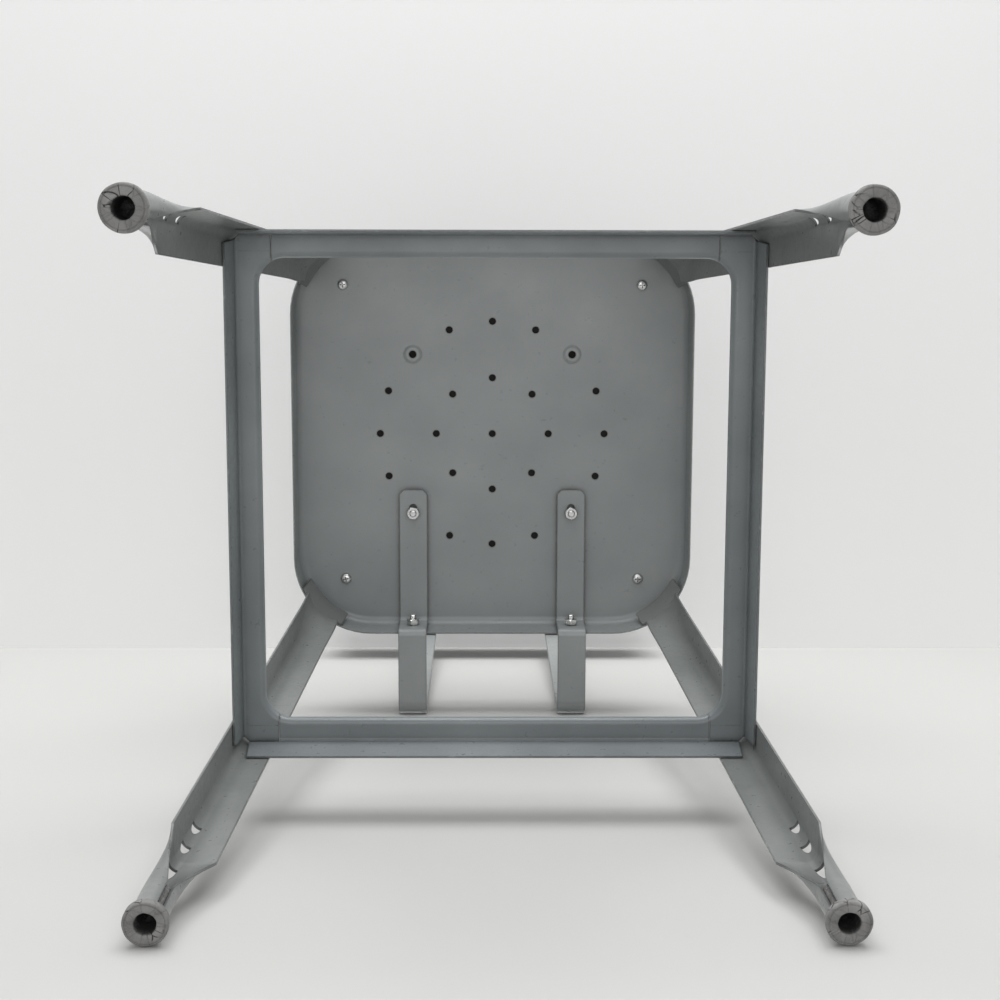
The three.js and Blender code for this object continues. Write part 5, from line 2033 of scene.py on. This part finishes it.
@dataclass
class Fasteners:
    """Every bolt, nut, screw and rivet, each kind one master set on its places.

    Args:
        gap: left under each head.
        bolt_end: how far a forward bolt's end stands past its nut.
        rim_bolt_end: the same for the bolts through the rim.
        nut_spin: the most that a nut is spun, in radians.
    """

    gap: float = 0.3
    bolt_end: float = 1.5
    rim_bolt_end: float = 4.0
    nut_spin: float = 1.0

    def scatter(
        self, name: str, kind: "Fastener | Nut", places: Sequence[Sequence[float]], axis: Axis,
        nodes: Sequence[str], seed: int, spin: float = FULL_TURN, slot: Slot = Slot.ZINC,
    ) -> None:
        """Sets one kind on several places and makes them one piece.

        Args:
            name: name of the piece.
            kind: what is set there.
            places: where each one's seat goes.
            axis: the way their heads point.
            nodes: the nodes that they replace.
            seed: of the random spin.
            spin: the most that one is spun, in radians.
            slot: material slot.
        """
        master = kind.master("master")
        points = Blank(name).add([Vector(p) for p in places], [])
        values = {"Master": master.obj, "Tilt": axis.tilt, "Spin": spin, "Seed": seed}
        FASTENER_TREE.run(points, values, FinishShelf.get(slot))
        master.scrap()
        hand_over(points, slot, *nodes)

    def build(self, pan: SeatPan, supports: BackSupports, rail: BackRail) -> None:
        """Makes them all."""
        sides = ("left", "right")
        across = (-supports.place, supports.place)
        nut = Nut()
        screw = Fastener(9.0, 2.6, 4.5, pan.sheet + 7.6, 1.4, Recess.CROSS)
        places = [(x, y, pan.underside - self.gap) for x, y in pan.corners(pan.screw_square / 2)]
        nodes = [f"pad_screw_{end}_{side}" for end in ("front", "rear") for side in sides]
        self.scatter("pad_screws", screw, places, Axis.DOWN, nodes, seed=5)

        head_level = DATUM.pan_top - pan.boss_height + self.gap
        nut_level = supports.flat - supports.thickness / 2 - self.gap
        length = head_level - nut_level + nut.height + self.bolt_end
        forward_bolt = Fastener(pan.boss_face - 1.0, 2.6, 6.0, length, 1.0)
        head_face = DATUM.rim_face + self.gap
        nut_face = supports.drop - supports.thickness / 2 - self.gap
        length = head_face - nut_face + nut.height + self.rim_bolt_end
        rim_bolt = Fastener(12.0, 2.6, 6.0, length, 1.0)
        batches = (
            ("forward_bolt", forward_bolt, (supports.place, head_level), Axis.UP, 2, FULL_TURN),
            ("forward_nut", nut, (supports.place, nut_level), Axis.DOWN, 3, self.nut_spin),
            ("rim_bolt", rim_bolt, (head_face, supports.bolt_level), Axis.REAR, 4, FULL_TURN),
            ("rim_nut", nut, (nut_face, supports.bolt_level), Axis.FRONT, 8, self.nut_spin),
        )
        for name, kind, place, axis, seed, spin in batches:
            places = [(x, *place) for x in across]
            nodes = [f"{name}_{side}" for side in sides]
            self.scatter(f"{name}s", kind, places, axis, nodes, seed, spin)

        front = rail.middle - rail.sheet / 2 - self.gap
        grip = DATUM.upright_rear + self.gap - front
        rivet = Fastener(10.0, 2.2, 5.0, grip, tail=2.2)
        places = [(x, front, level) for x in across for level in rail.rivet_levels]
        nodes = [f"rail_rivet_{side}_{row}" for side in sides for row in ("lower", "upper")]
        self.scatter("rail_rivets", rivet, places, Axis.FRONT, nodes, seed=6, slot=Slot.PAINT)


FASTENER_TREE = fastener_tree()


# --- studio


@dataclass(frozen=True)
class Lamp:
    """A soft rectangular lamp, placed from the rear feet.

    Args:
        name: of the lamp.
        place: how far along the floor towards the rail, and how far up from the floor.
        target: where it points, given the same way.
        size: width and height.
        power: in watts.
    """

    name: str
    place: Place
    target: Place
    size: Place
    power: float


LAMPS = (
    Lamp("overhead", (650.0, 1900.0), (500.0, 0.0), (2200.0, 1500.0), 44.0),
    Lamp("front", (-1700.0, 500.0), (500.0, 200.0), (1600.0, 900.0), 10.5),
    Lamp("back", (2500.0, -1300.0), (800.0, 0.0), (1200.0, 1200.0), 26.0),
)


@dataclass
class Studio:
    """Floor, wall, lights and camera. The chair lies on its back on the floor, feet to the camera.

    Args:
        wall_beyond: top of the rail to the wall.
        reach: half size of the floor and of the wall.
        floor_tone: the floor's colour.
        wall_tone: the wall's colour.
        sky: brightness of the room at the floor and overhead.
        behind: share of it that is left behind the camera.
        beside: share of it that is left to the left and the right.
        eye: the camera's place in the frame.
        aim: the camera's turn about X, Y and Z, in degrees.
        lens: focal length.
        sensor: width of the sensor.
    """

    wall_beyond: float = 14.0
    reach: float = 3200.0
    floor_tone: Colour = (0.478, 0.476, 0.465)
    wall_tone: Colour = (0.84, 0.84, 0.835)
    sky: Place = (0.18, 1.2)
    behind: float = 0.8
    beside: float = 0.3
    eye: tuple[float, float, float] = (-8.3, -200.0, -860.5)
    aim: tuple[float, float, float] = (171.175, 0.56, -0.15)
    lens: float = 61.2
    sensor: float = 36.0

    def set_out(self) -> None:
        """Finds the floor under the chair's back: it touches the rear feet and the supports' bends."""
        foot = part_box("foot_rear_right")
        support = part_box("back_support_left")
        self.base = Vector((0.0, foot[1].y / MM, 0.0))
        bend = Vector((0.0, support[1].y / MM, support[0].z / MM + BackSupports.bends[-1]))
        self.along = (bend - self.base).normalized()
        self.up = Vector((0.0, -self.along.z, self.along.y))
        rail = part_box("back_rail")[1] / MM
        self.wall_at = (Vector((0.0, rail.y, rail.z)) - self.base).dot(self.along) + self.wall_beyond

    def surface(self, name: str, corners: Sequence[Vector], tone: Colour, facing: Vector) -> None:
        """A stage surface that is seen from its front only.

        Args:
            name: name of the surface.
            corners: four corners in the frame, in millimetres.
            tone: its colour.
            facing: the side that is its front.
        """
        mesh = bpy.data.meshes.new(name)
        mesh.from_pydata([c * MM for c in corners], [], [(0, 1, 2, 3)])
        mesh.update()
        if mesh.polygons[0].normal.dot(facing) < 0:
            mesh.flip_normals()
        obj = put_in_scene(name, mesh)
        coat = Coat(name)
        coat.set(base_color=tone, roughness=0.75, specular_ior_level=0.3)
        back = coat.add("ShaderNodeNewGeometry").outputs["Backfacing"]
        clear = coat.add("ShaderNodeBsdfTransparent").outputs[0]
        choice = coat.add("ShaderNodeMixShader", {0: back, 1: coat.shader.outputs[0], 2: clear})
        out = coat.tree.nodes["Material Output"]
        coat.tree.links.new(choice.outputs[0], out.inputs["Surface"])
        mesh.materials.append(coat.material)
        obj.visible_shadow = False

    def room(self) -> None:
        """Makes the floor and the wall."""
        side = Vector((self.reach, 0.0, 0.0))
        near = self.base - self.along * self.reach
        far = self.base + self.along * self.wall_at
        high = far + self.up * self.reach
        floor = [near - side, near + side, far + side, far - side]
        self.surface("floor", floor, self.floor_tone, self.up)
        wall = [far - side, far + side, high + side, high - side]
        self.surface("wall", wall, self.wall_tone, -self.along)

    def at(self, along: float, up: float) -> Vector:
        """A place over the middle line of the floor, from the rear feet."""
        return self.base + self.along * along + self.up * up

    def hang(self, lamp: Lamp) -> None:
        """Puts up one lamp."""
        data = bpy.data.lights.new(lamp.name, "AREA")
        data.shape = "RECTANGLE"
        data.size, data.size_y = lamp.size[0] * MM, lamp.size[1] * MM
        data.energy = lamp.power
        obj = put_in_scene(lamp.name, data)
        obj.location = self.at(*lamp.place) * MM
        obj.rotation_mode = "QUATERNION"
        way = self.at(*lamp.target) - self.at(*lamp.place)
        obj.rotation_quaternion = way.to_track_quat("-Z", "Y")

    def lights(self) -> None:
        """A broad lamp overhead, weaker ones at the front and the back, in a pale room."""
        for lamp in LAMPS:
            self.hang(lamp)
        world = bpy.data.worlds.new("room")
        bpy.context.scene.world = world
        world.use_nodes = True
        nodes = Nodes(world.node_tree)
        way = nodes.add("ShaderNodeTexCoord").outputs["Generated"]
        high = nodes.ramp(nodes.dot(way, tuple(self.up)), -0.3, 1.0, self.sky)
        far = nodes.ramp(nodes.dot(way, tuple(self.along)), -0.9, 0.2, (self.behind, 1.0))
        across = nodes.add("ShaderNodeSeparateXYZ", {"Vector": way}).outputs[0]
        aside = nodes.ramp(nodes.math("ABSOLUTE", across), 0.3, 1.0, (1.0, self.beside))
        strength = nodes.math("MULTIPLY", nodes.math("MULTIPLY", high, far), aside)
        shade = world.node_tree.nodes["Background"]
        nodes.feed(shade.inputs["Color"], (0.985, 0.99, 1.0, 1.0))
        nodes.feed(shade.inputs["Strength"], strength)

    def camera(self) -> None:
        """Sets the camera on the floor's side of the feet, looking along the legs."""
        data = bpy.data.cameras.new("camera")
        data.lens = self.lens
        data.sensor_width = self.sensor
        data.clip_start, data.clip_end = 0.01, 50.0
        camera = put_in_scene("camera", data)
        camera.location = Vector(self.eye) * MM
        camera.rotation_euler = [math.radians(a) for a in self.aim]
        bpy.context.scene.camera = camera
        bpy.context.scene.view_settings.view_transform = "Standard"

    def build(self) -> None:
        """Makes the whole studio."""
        self.set_out()
        self.camera()
        self.room()
        self.lights()


def main() -> None:
    """Builds the chair and its studio."""
    logging.basicConfig(level=logging.INFO, format="%(name)s: %(message)s")
    Studio().build()
    pan, legs, ring = SeatPan(), Legs(), FootrestRing()
    supports, rail, cushion = BackSupports(), BackRail(), SeatCushion()
    supports.set_out(pan)
    pan.build(supports.bolt_level)
    legs.build(pan)
    Feet().build()
    ring.build(legs, pan)
    supports.build(pan)
    rail.build(supports)
    Fasteners().build(pan, supports, rail)
    cushion.board(pan)
    cushion.pad(pan)
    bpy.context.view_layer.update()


if __name__ == "__main__":
    main()
